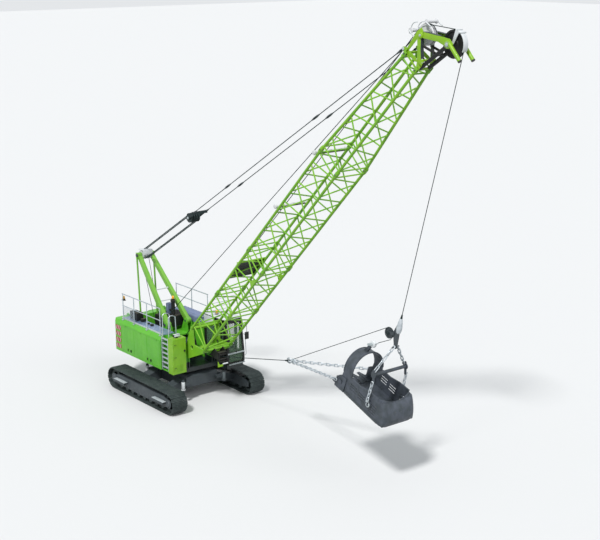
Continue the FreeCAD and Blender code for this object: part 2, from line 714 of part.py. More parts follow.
gantry_pin = V(d.gantry_top_x - 10, 0, d.gantry_top_z + 20)
bridle_pin = V(d.bridle_x, 0, d.bridle_z)
reeving_line = (bridle_pin - gantry_pin).normalize()
reeving_normal = reeving_line.cross(Y)


def gantry_sheaves():
    shapes = []
    for k in range(4):
        y = (k - 1.5) * 110
        shapes.append(sheave(gantry_pin.x, gantry_pin.z, y, stay_sheave_width, d.stay_sheave_radius, 45.3,
                             reeving_normal, dished=False))
    feature("gantry_sheaves", Part.makeCompound(shapes))


# ---------------------------------------------------------------- lamps, beacons, exhaust, mirrors

stack_x = -d.cooler_front - 170
stack_y = 150


def beacon(base):
    """Squat lamp on a wider foot."""
    return fused([bar(base, base + Z * 60, 62, 12), bar(base + Z * 60, base + Z * 170, 52, 12)])


def roof_kit():
    """Cooler with the silencer and the exhaust stack on it, the three beacons and the work lamp."""
    cooler = box(-d.cooler_rear, -d.cooler_front, -360, d.house_inner - d.seat_gap, 2500, d.cooler_top)
    stack_top = d.cooler_top + d.stack_height
    stack = Part.makeCylinder(75, d.stack_height, V(stack_x, stack_y, d.cooler_top))
    cap = Part.makeCylinder(105, 70, V(stack_x, stack_y, stack_top))
    silencer = box(stack_x - 380, stack_x - 230, stack_y - 100, stack_y + 100, d.cooler_top, stack_top - 130)
    feature("exhaust", fused([cooler, stack, cap, silencer]))
    bracket_z = d.house_top + d.rail_height - 310
    post_side = flank + 90 + 0.86 * d.rail_radius + d.seat_gap
    rail_beacon = beacon(V(rail_rear - 80, post_side + 75, bracket_z + 12))
    bracket = box(rail_rear - 145, rail_rear + 25, post_side, post_side + 140, bracket_z, bracket_z + 12)
    beacons = [fused([rail_beacon, bracket]),
               beacon(V(stack_x, stack_y, stack_top + 70 + d.seat_gap)),
               beacon(V(d.cab_rear + 560, d.cab_inner + 250, d.cab_top + d.seat_gap))]
    front = d.box_front - d.box_length
    lamp = fused([box(front + 200, front + 230, -1190, -1110, d.box_top, d.box_top + 50),
                  box(front + 160, front + 260, -1290, -1010, d.box_top + 50, d.box_top + 145)])
    feature("lamps", Part.makeCompound([*beacons, lamp]))


# ---------------------------------------------------------------- cab

def cab_profile(inset, low, high):
    """Side view of the cab: upright back, raked windscreen and a short nose."""
    rear, front = d.cab_rear + inset, d.cab_front - inset
    waist = d.cab_bottom + d.cab_sill
    return [(rear, low), (front - 60, low), (front, low + 60), (front, waist), (front - d.cab_rake, high - 60),
            (front - d.cab_rake - 60, high), (rear, high)]


cab_door_rear = d.cab_rear + 130
cab_door_front = d.cab_front - 560


cab_hinge_x = cab_door_rear + d.door_gap - 2
cab_hinge_y = d.cab_outer + 18
cab_hinge_levels = (d.cab_bottom + 280, d.cab_top - 300)
hinge_radius = 14
hinge_half = 60
leaf_length = 45


def cab_hinge_leaves():
    """The cab's halves of its door hinges, a barrel above and below each door barrel."""
    shapes = []
    for z in cab_hinge_levels:
        for k in (-1, 1):
            a, b = z + k * (hinge_half + d.seat_gap), z + k * (hinge_half + leaf_length)
            shapes.append(rod(V(cab_hinge_x, cab_hinge_y, a), V(cab_hinge_x, cab_hinge_y, b), hinge_radius))
            shapes.append(box(cab_hinge_x - 70, cab_hinge_x, d.cab_outer - 1, cab_hinge_y, a, b))
    return shapes


def cab_openings(gap):
    """The cab's window openings, each made smaller all round by the gap."""
    waist = d.cab_bottom + d.cab_sill
    front, head = d.cab_front, d.cab_top - 170
    left, right = d.cab_outer - 90 - gap, d.cab_inner + 90 + gap
    side_front = front - d.cab_rake - 120
    deep = d.cab_wall + 1
    return [
        box(front - 330, front + 10, right, left, waist + 40 + gap, head - gap),
        box(front - 330, front + 10, right, left, d.cab_bottom + 110 + gap, waist - 40 - gap),
        box(cab_door_front + 70 + gap, side_front - gap, d.cab_outer - deep, d.cab_outer + 1, waist + gap, head - gap),
        box(d.cab_rear + 130 + gap, side_front - gap, d.cab_inner - 1, d.cab_inner + deep, waist + gap, head - gap),
        box(d.cab_rear - 1, d.cab_rear + deep, right + 40, left - 40, waist + 150 + gap, head - gap),
    ]


def cab_layer(inset):
    """The cab's whole form, drawn in by an inset on every side."""
    profile = cab_profile(inset, d.cab_bottom + inset, d.cab_top - inset)
    return plate(profile, d.cab_inner + inset, d.cab_outer - inset)


def cab():
    """Hollow cab with every pane's opening cut through its wall."""
    wall = d.cab_wall
    doorway = box(cab_door_rear, cab_door_front, d.cab_outer - wall - 1, d.cab_outer + 1,
                  d.cab_bottom + 70, d.cab_top - 90)
    shell = cab_layer(0).cut(cab_layer(wall)).cut(Part.makeCompound([doorway, *cab_openings(0)]))
    feature("cab_body", fused([shell, *cab_hinge_leaves()]))


def cab_door():
    g = d.door_gap
    wall = d.cab_wall - 10
    low, high = d.cab_bottom + 70 + g, d.cab_top - 90 - g
    rear, front = cab_door_rear + g, cab_door_front - g
    y1 = d.cab_outer + 4
    leaf = box(rear, front, y1 - wall, y1, low, high)
    sill = d.cab_bottom + d.cab_sill
    window = box(rear + 70, front - 70, y1 - wall - 1, y1 + 1, sill, high - 90)
    grip = box(front - 60, front - 30, y1, y1 + 35, 2050, 2250)
    hinges = []
    for z in cab_hinge_levels:
        a, b = V(cab_hinge_x, cab_hinge_y, z - hinge_half), V(cab_hinge_x, cab_hinge_y, z + hinge_half)
        hinges.append(rod(a, b, hinge_radius))
        hinges.append(box(cab_hinge_x, rear + 60, y1 - 2, y1 + 12, z - 40, z + 40))
    feature("cab_door", fused([leaf.cut(window), grip, *hinges]))
    glass_y = y1 - (wall - d.pane) / 2
    s = d.seat_gap
    pane = box(rear + 70 + s, front - 70 - s, glass_y - d.pane, glass_y, sill + s, high - 90 - s)
    feature("cab_door_glass", pane)


def cab_seat():
    y0, y1 = d.cab_inner + 190, d.cab_outer - 190
    x = d.cab_rear + 380
    cushion = box(x, x + 480, y0, y1, d.cab_bottom + 460, d.cab_bottom + 580)
    back = box(x - 60, x + 60, y0, y1, d.cab_bottom + 500, d.cab_bottom + 1180)
    stand = box(x + 80, x + 380, y0 + 90, y1 - 90, d.cab_bottom + d.cab_wall, d.cab_bottom + 460)
    feature("cab_seat", fused([cushion, back, stand]))


def cab_glass():
    """Panes in the middle of the cab's walls, one in each opening."""
    outer = (d.cab_wall - d.pane) / 2
    layer = cab_layer(outer).cut(cab_layer(outer + d.pane))
    panes = [layer.common(opening) for opening in cab_openings(d.seat_gap)]
    feature("cab_glass", Part.makeCompound(panes))


# ---------------------------------------------------------------- boom
# The boom is drawn along its own axis: s runs from the foot pin to the head, n is the
# upper side. Each node is then placed at the foot pin, raised by the boom's angle.

boom_place = FreeCAD.Placement(pivot, FreeCAD.Rotation(Y, -d.boom_angle))


def to_boom(x, z, y=0.0):
    """A point of the machine in the boom's own axes."""
    return boom_place.inverse().multVec(V(x, y, z))


def brace(a, b, chord_a, chord_b):
    """A lacing tube between two chord centres, cut to meet both chords."""
    run = (b - a).normalize()
    trims = []
    for chord in (chord_a, chord_b):
        slope = abs(run.dot(chord))
        sine = math.sqrt(1 - slope * slope)
        trims.append((d.chord_radius + d.brace_radius * slope + d.seat_gap) / sine)
    face = run.cross(chord_a).normalize()
    return bar(a + run * trims[0], b - run * trims[1], d.brace_radius, aside=face)


def half_size(s, s0, s1, start, end):
    share = (s - s0) / (s1 - s0)
    return start[0] + share * (end[0] - start[0]), start[1] + share * (end[1] - start[1])


def lattice(s0, s1, panels, start, end):
    """Four chords with collars at both ends and zigzag lacing on all four faces."""
    shapes = []

    def corner(s, side, level):
        width, depth = half_size(s, s0, s1, start, end)
        return V(s, side * width, level * depth)

    def lacing(s_a, side_a, level_a, s_b, side_b, level_b):
        chord_a = (corner(s1, side_a, level_a) - corner(s0, side_a, level_a)).normalize()
        chord_b = (corner(s1, side_b, level_b) - corner(s0, side_b, level_b)).normalize()
        return brace(corner(s_a, side_a, level_a), corner(s_b, side_b, level_b), chord_a, chord_b)

    collar = 1.45 * d.chord_radius
    taper = math.hypot(start[0] - end[0], start[1] - end[1]) / (s1 - s0)
    end_gap = d.seat_gap / 2 + collar * taper
    for side in (-1, 1):
        for level in (-1, 1):
            a, b = corner(s0, side, level), corner(s1, side, level)
            along = (b - a).normalize()
            chord = rod(a + along * end_gap, b - along * end_gap, d.chord_radius)
            ends = [rod(a + along * end_gap, a + along * 130, collar), rod(b - along * 130, b - along * end_gap, collar)]
            shapes.append(fused([chord, *ends]))
    inset = 130 + d.brace_radius + 8
    knots = [s0 + inset + (s1 - s0 - 2 * inset) * k / panels for k in range(panels + 1)]
    reach = 55
    for panel in range(panels):
        left, right = knots[panel] + reach, knots[panel + 1] - reach
        flip = 1 if panel % 2 == 0 else -1
        for k in (-1, 1):
            shapes.append(lacing(left, -flip, k, right, flip, k))
            shapes.append(lacing(left, k, -flip, right, k, flip))
    for s in (knots[0], knots[-1]):
        for k in (-1, 1):
            shapes.append(lacing(s, -1, k, s, 1, k))
            shapes.append(lacing(s, k, -1, s, k, 1))
    return shapes


def boom_foot():
    """Foot section: two hub plates spread into the four chords."""
    w, h = d.boom_half_width, d.boom_half_depth
    length = d.foot_plate_length
    hub = d.foot_hub_radius
    r = d.chord_radius
    outline = [(0, -hub), (length - 150, -h - r), (length, -h - r), (length, -h + r), (length - 420, 0),
               (length, h - r), (length, h + r), (length - 150, h + r), (0, hub)]
    side = fused([plate(outline, foot_inner, foot_outer), disc(0, 0, foot_inner, foot_outer, hub)])
    side = side.cut(disc(0, 0, foot_inner - 1, foot_outer + 1, d.pin_radius + d.pin_clearance))
    hole = disc(length - 620, 0, foot_inner - 1, foot_outer + 1, 95)
    sides = both_sides([side.cut(hole)])
    ties = [box(length - 120, length, -foot_inner, foot_inner, k * h - r, k * h + r) for k in (-1, 1)]
    ties.append(box(420, 520, -foot_inner, foot_inner, -60, 60))
    frame = fused([*sides, *ties])
    grid = lattice(length + d.seat_gap, d.foot_length, 4, (w, h), (w, h))
    feature("boom_foot", Part.makeCompound([frame, *grid]), boom_place)


joint_one = d.foot_length
joint_two = joint_one + d.middle_length
joint_three = joint_two + d.main_length
joint_four = joint_three + d.top_length
pendant_end = joint_four + d.pendant_end_ahead


def boom_sections():
    full = (d.boom_half_width, d.boom_half_depth)
    head = (d.head_half_width, d.head_half_depth)
    feature("boom_section_1", Part.makeCompound(lattice(joint_one, joint_two, 5, full, full)), boom_place)
    feature("boom_section_2", Part.makeCompound(lattice(joint_two, joint_three, 10, full, full)), boom_place)
    feature("boom_top", Part.makeCompound(lattice(joint_three, joint_four, 8, full, head)), boom_place)


point_s = joint_four + d.point_sheave_ahead
guide_s = joint_four + d.guide_sheave_ahead
head_inner = d.head_half_width - 20
head_outer = head_inner + d.head_plate


def boom_head():
    """Head frame: webs and beams carry the guide sheaves above and the point sheave in front."""
    h, r, s0 = d.head_half_depth, d.chord_radius, joint_four
    ps, pn, gs, gn = point_s, d.point_sheave_n, guide_s, d.guide_sheave_n
    y0, y1 = head_inner, head_outer
    outline = [(s0, h + r), (gs - 140, gn + 225), (gs + 120, gn + 165), (ps + 190, pn + 120), (ps + 150, pn - 180),
               (ps + 30, pn - 220), (ps - 130, pn + 120), (gs - 20, gn - 45), (s0 + 430, -h - r), (s0, -h - r)]
    window = [(s0 + 110, h - 70), (gs - 320, gn + 45), (s0 + 150, -h + 190)]
    side = plate(outline, y0, y1).cut(plate(window, y0 - 1, y1 + 1))
    bosses = [disc(ps, pn, y1, y1 + 30, 90), disc(gs, gn, y1, y1 + 30, 80)]
    prong_top, middle = V(ps + 60, (y0 + y1) / 2, pn - 60), V(ps + 25, (y0 + y1) / 2, pn - d.prong_length)
    prong = bar(prong_top, middle, d.prong_radius, 8)
    side = fused([side, *bosses, prong])
    shafts = [disc(ps, pn, -y0 - 5, y0 + 5, 45), disc(gs, gn, -y0 - 5, y0 + 5, 40)]
    ties = [box(s0, s0 + 80, -y0 - 5, y0 + 5, k * h - 40, k * h + 40) for k in (-1, 1)]
    es, en = pendant_end, d.pendant_end_n
    lug = plate([(s0, h), (es + 190, h - 20), (es + d.pin_radius, en), (es - d.pin_radius, en)], y0, d.pendant_y + 15)
    lug = fused([lug, disc(es, en, y0, d.pendant_y + 15, d.pin_radius)])
    feature("boom_head", fused([*both_sides([side, lug]), *shafts, *ties]), boom_place)


def head_struts():
    """Dark tubes from the lower chords to the point sheave's shaft, inside the side plates."""
    y = head_inner - d.seat_gap - d.head_strut_radius
    low = V(joint_four + 120, y, -d.head_half_depth)
    tip = V(point_s - 110, y, d.point_sheave_n + 30)
    tube = rod(low, tip, d.head_strut_radius)
    feature("head_struts", Part.makeCompound(both_sides([tube])), boom_place)


def head_sheaves():
    shapes = [sheave(guide_s, d.guide_sheave_n, y, d.sheave_width, d.guide_sheave_radius, 40.3, Z, 28)
              for y in (-d.guide_sheave_y, d.guide_sheave_y)]
    feature("head_sheaves", Part.makeCompound(shapes), boom_place)
    fall = boom_place.Rotation.inverted().multVec(fall_start() - fall_top)
    point = sheave(point_s, d.point_sheave_n, 0, d.point_sheave_width, d.point_sheave_radius, 45.3, fall, 32)
    feature("point_sheave", point, boom_place)


def guide_rollers():
    """Two rollers that carry the hoist rope clear of the boom's upper side."""
    shapes = []
    w, h, r = d.boom_half_width, d.boom_half_depth, d.chord_radius
    lift = h + r + d.guide_roller_radius + 25
    for s in (d.roller_low_s, d.roller_high_s):
        tube = rod(V(s, -w, lift), V(s, w, lift), d.guide_roller_radius)
        posts = [box(s - 30, s + 30, k * w - 15, k * w + 15, h + r + d.seat_gap, lift) for k in (-1, 1)]
        shapes.append(fused([tube, *posts]))
    feature("guide_rollers", Part.makeCompound(shapes), boom_place)


def rope_guard():
    """Dark sheet on the upper chords, which keeps a slack hoist rope out of the lacing."""
    rest = d.boom_half_depth + d.chord_radius + d.seat_gap
    sheet_s, sheet_end = d.guard_s, d.guard_s + d.guard_length
    feature("rope_guard", box(sheet_s, sheet_end, -d.boom_half_width, d.boom_half_width, rest, rest + d.guard_sheet),
            boom_place)


# ---------------------------------------------------------------- fairlead

def fairlead():
    """Roller box below the boom foot: two upright and two level rollers round the drag rope."""
    mouth = to_boom(d.fairlead_x, d.fairlead_z)
    s, n = mouth.x, mouth.z
    r = d.fairlead_roller_radius
    gap = d.drag_rope_radius + d.drag_rope_clearance
    half = d.fairlead_roller_length / 2
    hanger_top = -d.boom_half_depth - d.chord_radius
    level = FreeCAD.Placement(V(s, 0, n), FreeCAD.Rotation(Y, d.boom_angle))
    frame = []
    reach = gap + 2 * r
    for side in (-1, 1):
        frame.append(box(-130, 60, side * (half + 20), side * (half + 45), -reach - 30, reach + 30))
    frame.append(box(-130, 60, -half - 45, half + 45, -reach - 55, -reach - 30))
    frame.append(box(-130, 60, -half - 45, half + 45, reach + 30, reach + 55))
    rollers = [rod(V(0, -half - 25, k * (gap + r)), V(0, half + 25, k * (gap + r)), r) for k in (-1, 1)]
    upright = [rod(V(-95, k * (gap + r), -reach - 35), V(-95, k * (gap + r), reach + 35), r) for k in (-1, 1)]
    cage = fused([*frame, *rollers, *upright])
    cage.Placement = level
    hangers = []
    for side in (-1, 1):
        y0, y1 = sorted((side * (half + 45), side * (half + 75)))
        shape = [(s - 420, hanger_top), (s + 60, hanger_top), (s + 110, n + 140), (s - 20, n - 120), (s - 160, n + 40)]
        hangers.append(plate(shape, y0, y1))
    feature("fairlead", fused([cage, *hangers]), boom_place)


# ---------------------------------------------------------------- stays

def between(a, b, share):
    return a + (b - a) * share


head_pin = boom_place.multVec(V(pendant_end, 0, d.pendant_end_n))
stay_line = (head_pin - bridle_pin).normalize()


def stays():
    """Two pendants in three lengths, the bridle block and the reeving to the gantry."""
    y = V(0, d.pendant_y, 0)
    start = bridle_pin + stay_line * 520
    joints = [start + y, between(start, head_pin, 0.20) + y, between(start, head_pin, 0.64) + y, head_pin + y]
    shapes = []
    for a, b in zip(joints, joints[1:]):
        end = 140 if b is joints[-1] else 70
        shapes.append(bar(a + stay_line * 70, b - stay_line * end, d.pendant_radius, 8))
    for a in joints[1:-1]:
        shapes.append(bar(a - stay_line * 70, a + stay_line * 70, 2.4 * d.pendant_radius, 8))
    last = head_pin + y - stay_line * (d.pin_radius + d.seat_gap)
    shapes.append(bar(head_pin + y - stay_line * 140, last, 2.4 * d.pendant_radius, 8))
    feature("pendants", Part.makeCompound(both_sides([fused(shapes)])))
    beam = bar(start - y * 1.15, start + y * 1.15, 70, 4)
    links = [bar(start + side * y, start + side * y + stay_line * 69.7, 36, 8) for side in (-1, 1)]
    normal = stay_line.cross(Y)
    cheek = []
    for k in (-1, 1):
        base = bridle_pin + V(0, k * 235, 0)
        corners = [base - stay_line * 120 - normal * 60, base - stay_line * 120 + normal * 60,
                   start + V(0, k * 235, 0) + normal * 50, start + V(0, k * 235, 0) - normal * 50]
        cheek.append(Part.Face(Part.makePolygon(corners + corners[:1])).extrude(V(0, k * 20, 0)))
    shaft = rod(bridle_pin - V(0, 250, 0), bridle_pin + V(0, 250, 0), 40)
    wheels = [sheave(bridle_pin.x, bridle_pin.z, (k - 1.5) * 110, stay_sheave_width, d.stay_sheave_radius, 40.3,
                     reeving_normal, dished=False) for k in range(4)]
    feature("bridle", Part.makeCompound([fused([beam, *links, *cheek, shaft]), *wheels]))
    seat = rope_seat(d.stay_sheave_radius, stay_sheave_width, d.stay_rope_radius)
    ropes = []
    for k in range(4):
        aside = V(0, (k - 1.5) * 110, 0)
        for level in (-1, 1):
            offset = reeving_normal * (level * seat) + aside
            ropes.append(bar(gantry_pin + offset, bridle_pin + offset, d.stay_rope_radius))
    feature("reeving_ropes", Part.makeCompound(ropes))


# ---------------------------------------------------------------- hoist line

fall_top = boom_place.multVec(V(point_s, 0, d.point_sheave_n))
socket_pin = V(d.socket_x, 0, d.socket_z)


def fall_start():
    """Where the hoist rope leaves the front of the point sheave."""
    reach = rope_seat(d.point_sheave_radius, d.point_sheave_width, d.hoist_rope_radius) + d.seat_gap
    span = socket_pin - fall_top
    angle = math.atan2(span.z, span.x) + math.acos(reach / span.Length)
    return fall_top + V(reach * math.cos(angle), 0, reach * math.sin(angle))


def eyed(a, b, radius, y0, y1):
    """A link plate with rounded ends about two points."""
    run = (b - a).normalize()
    across = run.cross(Y)
    corners = []
    for centre, ahead in ((b, run), (a, run * -1)):
        side = across if ahead is run else across * -1
        for k in range(6):
            turn = math.pi * k / 5
            corners.append(centre + side * (radius * math.cos(turn)) + ahead * (radius * math.sin(turn)))
    return plate([(c.x, c.z) for c in corners], y0, y1)


def chain_pin(x, z, y0, y1):
    """A chain's pin, from the plate that holds it at y0 to its head at y1."""
    step = 1 if y1 > y0 else -1
    shank = disc(x, z, min(y0, y1), max(y0, y1), d.chain_pin_radius)
    head = disc(x, z, min(y1, y1 + step * 12), max(y1, y1 + step * 12), 1.7 * d.chain_pin_radius)
    return fused([shank, head])


hanger_half = 18


def hoist_line():
    """One fall of rope, and the forked socket that grips the hanger plate."""
    start = fall_start()
    line = (socket_pin - start).normalize()
    rope = bar(start, socket_pin - line * 300, d.hoist_rope_radius, 8)
    cone = taper(socket_pin - line * 300, line, 210, 24, 48)
    near = socket_pin - line * 95
    inner = hanger_half + d.seat_gap
    fork = both_sides([eyed(near, socket_pin, 42, inner, inner + 22)])
    crown = eyed(near, near - line * 5, 42, -inner - 1, inner + 1)
    pin = disc(socket_pin.x, socket_pin.z, -inner - 30, inner + 30, 20)
    feature("hoist_rope", fused([rope, cone, crown, *fork, pin]))


chain_aside = 86
slack = 26
eye = V(d.hanger_x, 0, d.hanger_z)
block = V(d.block_x - 100, 0, d.block_z)


def hanger():
    """Hanger plate: the rope's socket above, the dump block beside, the upper chains below."""
    half = hanger_half
    side = block.x + d.block_radius + 15
    corners = [(socket_pin.x - 50, socket_pin.z + 20), (socket_pin.x + 50, socket_pin.z + 20),
               (eye.x + 70, eye.z), (eye.x - 70, eye.z), (side, block.z - 20), (side, block.z + 90)]
    web = fused([plate(corners, -half, half), drum(eye.x, eye.z, -half, half, 70),
                 drum(socket_pin.x, socket_pin.z, -half, half, 50)])
    web = web.cut(disc(socket_pin.x, socket_pin.z, -half - 1, half + 1, 20 + d.pin_clearance))
    cheeks = [plate([(block.x - 80, block.z - 60), (side + 60, block.z - 20), (side + 60, block.z + 80),
                     (block.x - 40, block.z + 90)], k * 50 - 10, k * 50 + 10) for k in (-1, 1)]
    spacer = box(side, side + 60, -60, 60, block.z - 10, block.z + 60)
    shaft = disc(block.x, block.z, -60, 60, 30)
    pins = both_sides([chain_pin(eye.x, eye.z, half, chain_aside + slack + 20)])
    frame = fused([web, *cheeks, spacer, shaft, *pins])
    wheel = sheave(block.x, block.z, 0, 66, d.block_radius, 30 + d.pin_clearance, Z)
    feature("hanger", Part.makeCompound([frame, wheel]))


spreader_high = V(d.spreader_x, 0, d.spreader_z + 135)
spreader_low = V(d.spreader_x, 0, d.spreader_z - 260)
end_outer = d.spreader_half_width + d.eye_plate


def spreader():
    """Spreader bar that keeps the hoist chains outside the bucket."""
    x, z, w = d.spreader_x, d.spreader_z, d.spreader_half_width
    tube = bar(V(x, -w, z), V(x, w, z), d.spreader_radius, 16)
    side = fused([eyed(spreader_high, spreader_low, 45, w, end_outer), drum(x, z, w, end_outer, 110)])
    pins = [chain_pin(x, spreader_high.z, w, w - 60 - slack - 20),
            chain_pin(x, spreader_low.z, end_outer, end_outer + 60)]
    feature("spreader", fused([tube, *both_sides([fused([side, *pins])])]))


# ---------------------------------------------------------------- chains

def link(length):
    """One chain link along X: a flat ring with chamfered corners, its slot open along Y."""
    a, b = length / 2 + d.link_bar, d.link_width / 2
    c = 0.45 * d.link_bar + 12
    outline = [(-a, -b + c), (-a + c, -b), (a - c, -b), (a, -b + c), (a, b - c), (a - c, b), (-a + c, b), (-a, b - c)]
    body = plate(outline, -d.link_bar / 2, d.link_bar / 2)
    slot = b - d.link_bar
    return body.cut(box(-length / 2, length / 2, -d.link_bar, d.link_bar, -slot, slot))


def chain(start, end):
    """An odd number of links, hooked through one another, between two pins along Y."""
    line = (end - start).normalize()
    lean = abs(line.y)
    flat = math.sqrt(1 - lean * lean)
    reach = d.chain_pin_radius / flat + d.link_bar / 2 * lean / flat + d.seat_gap
    first, last = start - line * reach, end + line * reach
    run = last - first
    count = 2 * round((run.Length / d.link_length - 1) / 2) + 1
    pitch = run.Length / count
    across = (Y - line * line.y).normalize()
    turn = FreeCAD.Rotation(line, across, line.cross(across), "XYZ")
    shapes = []
    for k in range(count):
        shape = link(pitch + d.seat_gap)
        roll = FreeCAD.Rotation(X, 90.0 * (k % 2))
        shape.Placement = FreeCAD.Placement(first + run * ((k + 0.5) / count), turn.multiply(roll))
        shapes.append(shape)
    return shapes


trunnion_plate = d.bucket_half_width + 38


def hoist_chains():
    """Upper chains to the spreader, lower chains to the eye plates on the trunnions."""
    high = chain(V(eye.x, chain_aside, eye.z), V(spreader_high.x, d.spreader_half_width - 60, spreader_high.z))
    grip = V(d.trunnion_x, 0, d.trunnion_z)
    knuckle = grip + V(20, 0, 150)
    outer = trunnion_plate + d.eye_plate
    bore = disc(grip.x, grip.z, trunnion_plate - 1, outer + 1, d.trunnion_radius + d.pin_clearance)
    hoop = fused([eyed(grip, knuckle, 40, trunnion_plate, outer), drum(grip.x, grip.z, trunnion_plate, outer, 85)])
    hoop = fused([hoop.cut(bore), chain_pin(knuckle.x, knuckle.z, outer, outer + 60)])
    low = chain(V(spreader_low.x, end_outer + 27, spreader_low.z), V(knuckle.x, outer + 27, knuckle.z))
    feature("hoist_chains", Part.makeCompound(both_sides([*high, *low, hoop])))


# ---------------------------------------------------------------- bucket
# Drawn level about its trunnion with its mouth towards -X, then tipped nose-up.

bucket_place = FreeCAD.Placement(V(d.trunnion_x, 0, d.trunnion_z), FreeCAD.Rotation(Y, d.bucket_tilt))


def bucket_profile(inset, brim):
    """Side view of the bucket: floor, round heel and leaning back, under the given brim."""
    floor, rear = -d.bucket_floor + inset, d.bucket_rear - inset
    radius = d.bucket_heel - inset
    back = V(-d.bucket_rear_lean, 0, d.bucket_rear_top + d.bucket_floor).normalize()
    side = back.cross(Y)
    heel = V(rear - radius * (1 + side.z) / side.x, 0, floor + radius)
    middle = (side - Z).normalize()
    turn = Part.Arc(heel - Z * radius, heel + middle * radius, heel + side * radius).toShape()
    top = V(rear, 0, floor) + back * ((d.bucket_rear_top - floor) / back.z)
    edges = Part.makePolygon([turn.Vertexes[-1].Point, top, *[V(x, 0, z) for x, z in brim],
                              V(-d.bucket_front, 0, floor), turn.Vertexes[0].Point])
    return Part.Face(Part.Wire([turn, *edges.Edges]))


def bucket_plan(inset, front):
    """Plan of the bucket with its two round rear corners, run up along the leaning back."""
    half, rear, r = d.bucket_half_width - inset, d.bucket_rear - inset, d.bucket_corner - inset
    low = -d.bucket_floor - 10
    share = r * math.sqrt(0.5)
    left = Part.Arc(V(rear - r, -half, low), V(rear - r + share, -half + r - share, low),
                    V(rear, -half + r, low)).toShape()
    right = Part.Arc(V(rear, half - r, low), V(rear - r + share, half - r + share, low),
                     V(rear - r, half, low)).toShape()
    straight = [Part.makeLine(V(front, -half, low), V(rear - r, -half, low)),
                Part.makeLine(V(rear, -half + r, low), V(rear, half - r, low)),
                Part.makeLine(V(rear - r, half, low), V(front, half, low)),
                Part.makeLine(V(front, half, low), V(front, -half, low))]
    face = Part.Face(Part.Wire([straight[0], left, straight[1], right, *straight[2:]]))
    rise = d.bucket_floor + d.bucket_rear_top
    return face.extrude(V(-d.bucket_rear_lean, 0, rise) * 2)


hitch_aside = d.bucket_half_width + 62
arch_turn = FreeCAD.Rotation(Y, -d.arch_lean)
arch_place = FreeCAD.Placement(V(-d.arch_x, 0, d.arch_z), arch_turn)


def bucket():
    """Open box with a round heel, slotted sides and back, a lip and an arch over its mouth."""
    half, wall, front = d.bucket_half_width, d.bucket_wall, d.bucket_front
    brim = [(-150, d.bucket_side_top), (-610, d.bucket_side_dip), (-1060, d.arch_z - 60),
            (-front + 150, d.arch_z - 220), (-front, 40)]
    shell = bucket_profile(0, brim).extrude(V(0, 2 * half, 0))
    shell.Placement = FreeCAD.Placement(V(0, -half, 0), FreeCAD.Rotation())
    shell = shell.common(bucket_plan(0, -front - 100))
    over = d.bucket_rear_top + 600
    inside = bucket_profile(wall, [(-front - 100, over), (-front - 100, -d.bucket_floor + wall)])
    inside = inside.extrude(V(0, 2 * half, 0))
    inside.Placement = FreeCAD.Placement(V(0, -half, 0), FreeCAD.Rotation())
    shell = shell.cut(inside.common(bucket_plan(wall, -front - 100)))
    scoop = d.bucket_scoop
    bend = ((0.8 * half) ** 2 + scoop ** 2) / (2 * scoop)
    start = V(d.bucket_rear - d.bucket_rear_lean - 250, 0, d.bucket_rear_top - scoop + bend)
    shell = shell.cut(Part.makeCylinder(bend, 600, start, X))
    shell = shell.cut(Part.makeCompound(bucket_slots()))
    lip = box(-front - 60, -front + 260, -half - 15, half + 15, -d.bucket_floor - 25, -d.bucket_floor + 45)
    cheek = [(-front - 60, -d.bucket_floor), (-front + 420, -d.bucket_floor), (-front + 420, 150),
             (-front + 120, 130), (-front - 60, -20)]
    cheeks = both_sides([plate(cheek, half, half + 30)])
    trunnions = both_sides([disc(0, 0, half, trunnion_plate + d.eye_plate + 10, d.trunnion_radius),
                            disc(0, 0, half, half + 35, 130)])
    eye_point = V(-d.hitch_x, 0, -d.hitch_z)
    hitches = both_sides([fused([eyed(eye_point, eye_point + V(160, 0, 0), 75, half + 30, hitch_aside),
                                 chain_pin(eye_point.x, eye_point.z, hitch_aside, hitch_aside + 64)])])
    feature("bucket", fused([shell, lip, *cheeks, *trunnions, *hitches, bucket_arch()]), bucket_place)


def bucket_slots():
    """Rows of long drain slots through both sides and through the leaning back."""
    half, length, height = d.bucket_half_width, d.slot_length, d.slot_height
    rise = d.bucket_floor + d.bucket_rear_top
    slots = []
    for x, z, rows in ((-1010, -90, 3), (-560, -130, 3), (40, -240, 4)):
        for row in range(rows):
            low = z + d.slot_pitch * row
            slots.append(box(x, x + length, -half - 60, half + 60, low, low + height))
    for row in range(4):
        z = -190 + d.slot_pitch * row
        back = d.bucket_rear - d.bucket_rear_lean * (z + d.bucket_floor) / rise
        for column in range(3):
            y = (column - 1.5) * length + 45
            slots.append(box(back - 130, back + 80, y, y + length - 90, z, z + height))
    return slots


def bucket_arch():
    """Half hoop of wide plate over the mouth on two legs, with the dump rope's socket on top."""
    half, width = d.bucket_half_width, d.arch_width
    start = V(-width / 2, 0, 0)
    hoop = Part.makeCylinder(half, width, start, X).cut(Part.makeCylinder(half - d.arch_plate, width, start, X))
    hoop = hoop.cut(Part.makeBox(width + 2, 2 * half + 2, half + 1, V(-width / 2 - 1, -half - 1, -half - 1)))
    hoop.Placement = arch_place
    top_rear = arch_place.multVec(V(width / 2, 0, 0))
    top_front = arch_place.multVec(V(-width / 2, 0, 0))
    leg = [(top_front.x, top_front.z), (top_rear.x, top_rear.z), (top_rear.x + 90, -60), (-d.bucket_front + 130, -60)]
    legs = both_sides([plate(leg, half - d.arch_plate, half)])
    crown = arch_place.multVec(V(0, 0, half))
    eye_lug = plate([(crown.x - 60, crown.z - 15), (crown.x + 90, crown.z + 5), (crown.x + 200, crown.z + 290),
                     (crown.x + 110, crown.z + 330)], -45, 45)
    return fused([hoop, *legs, eye_lug])


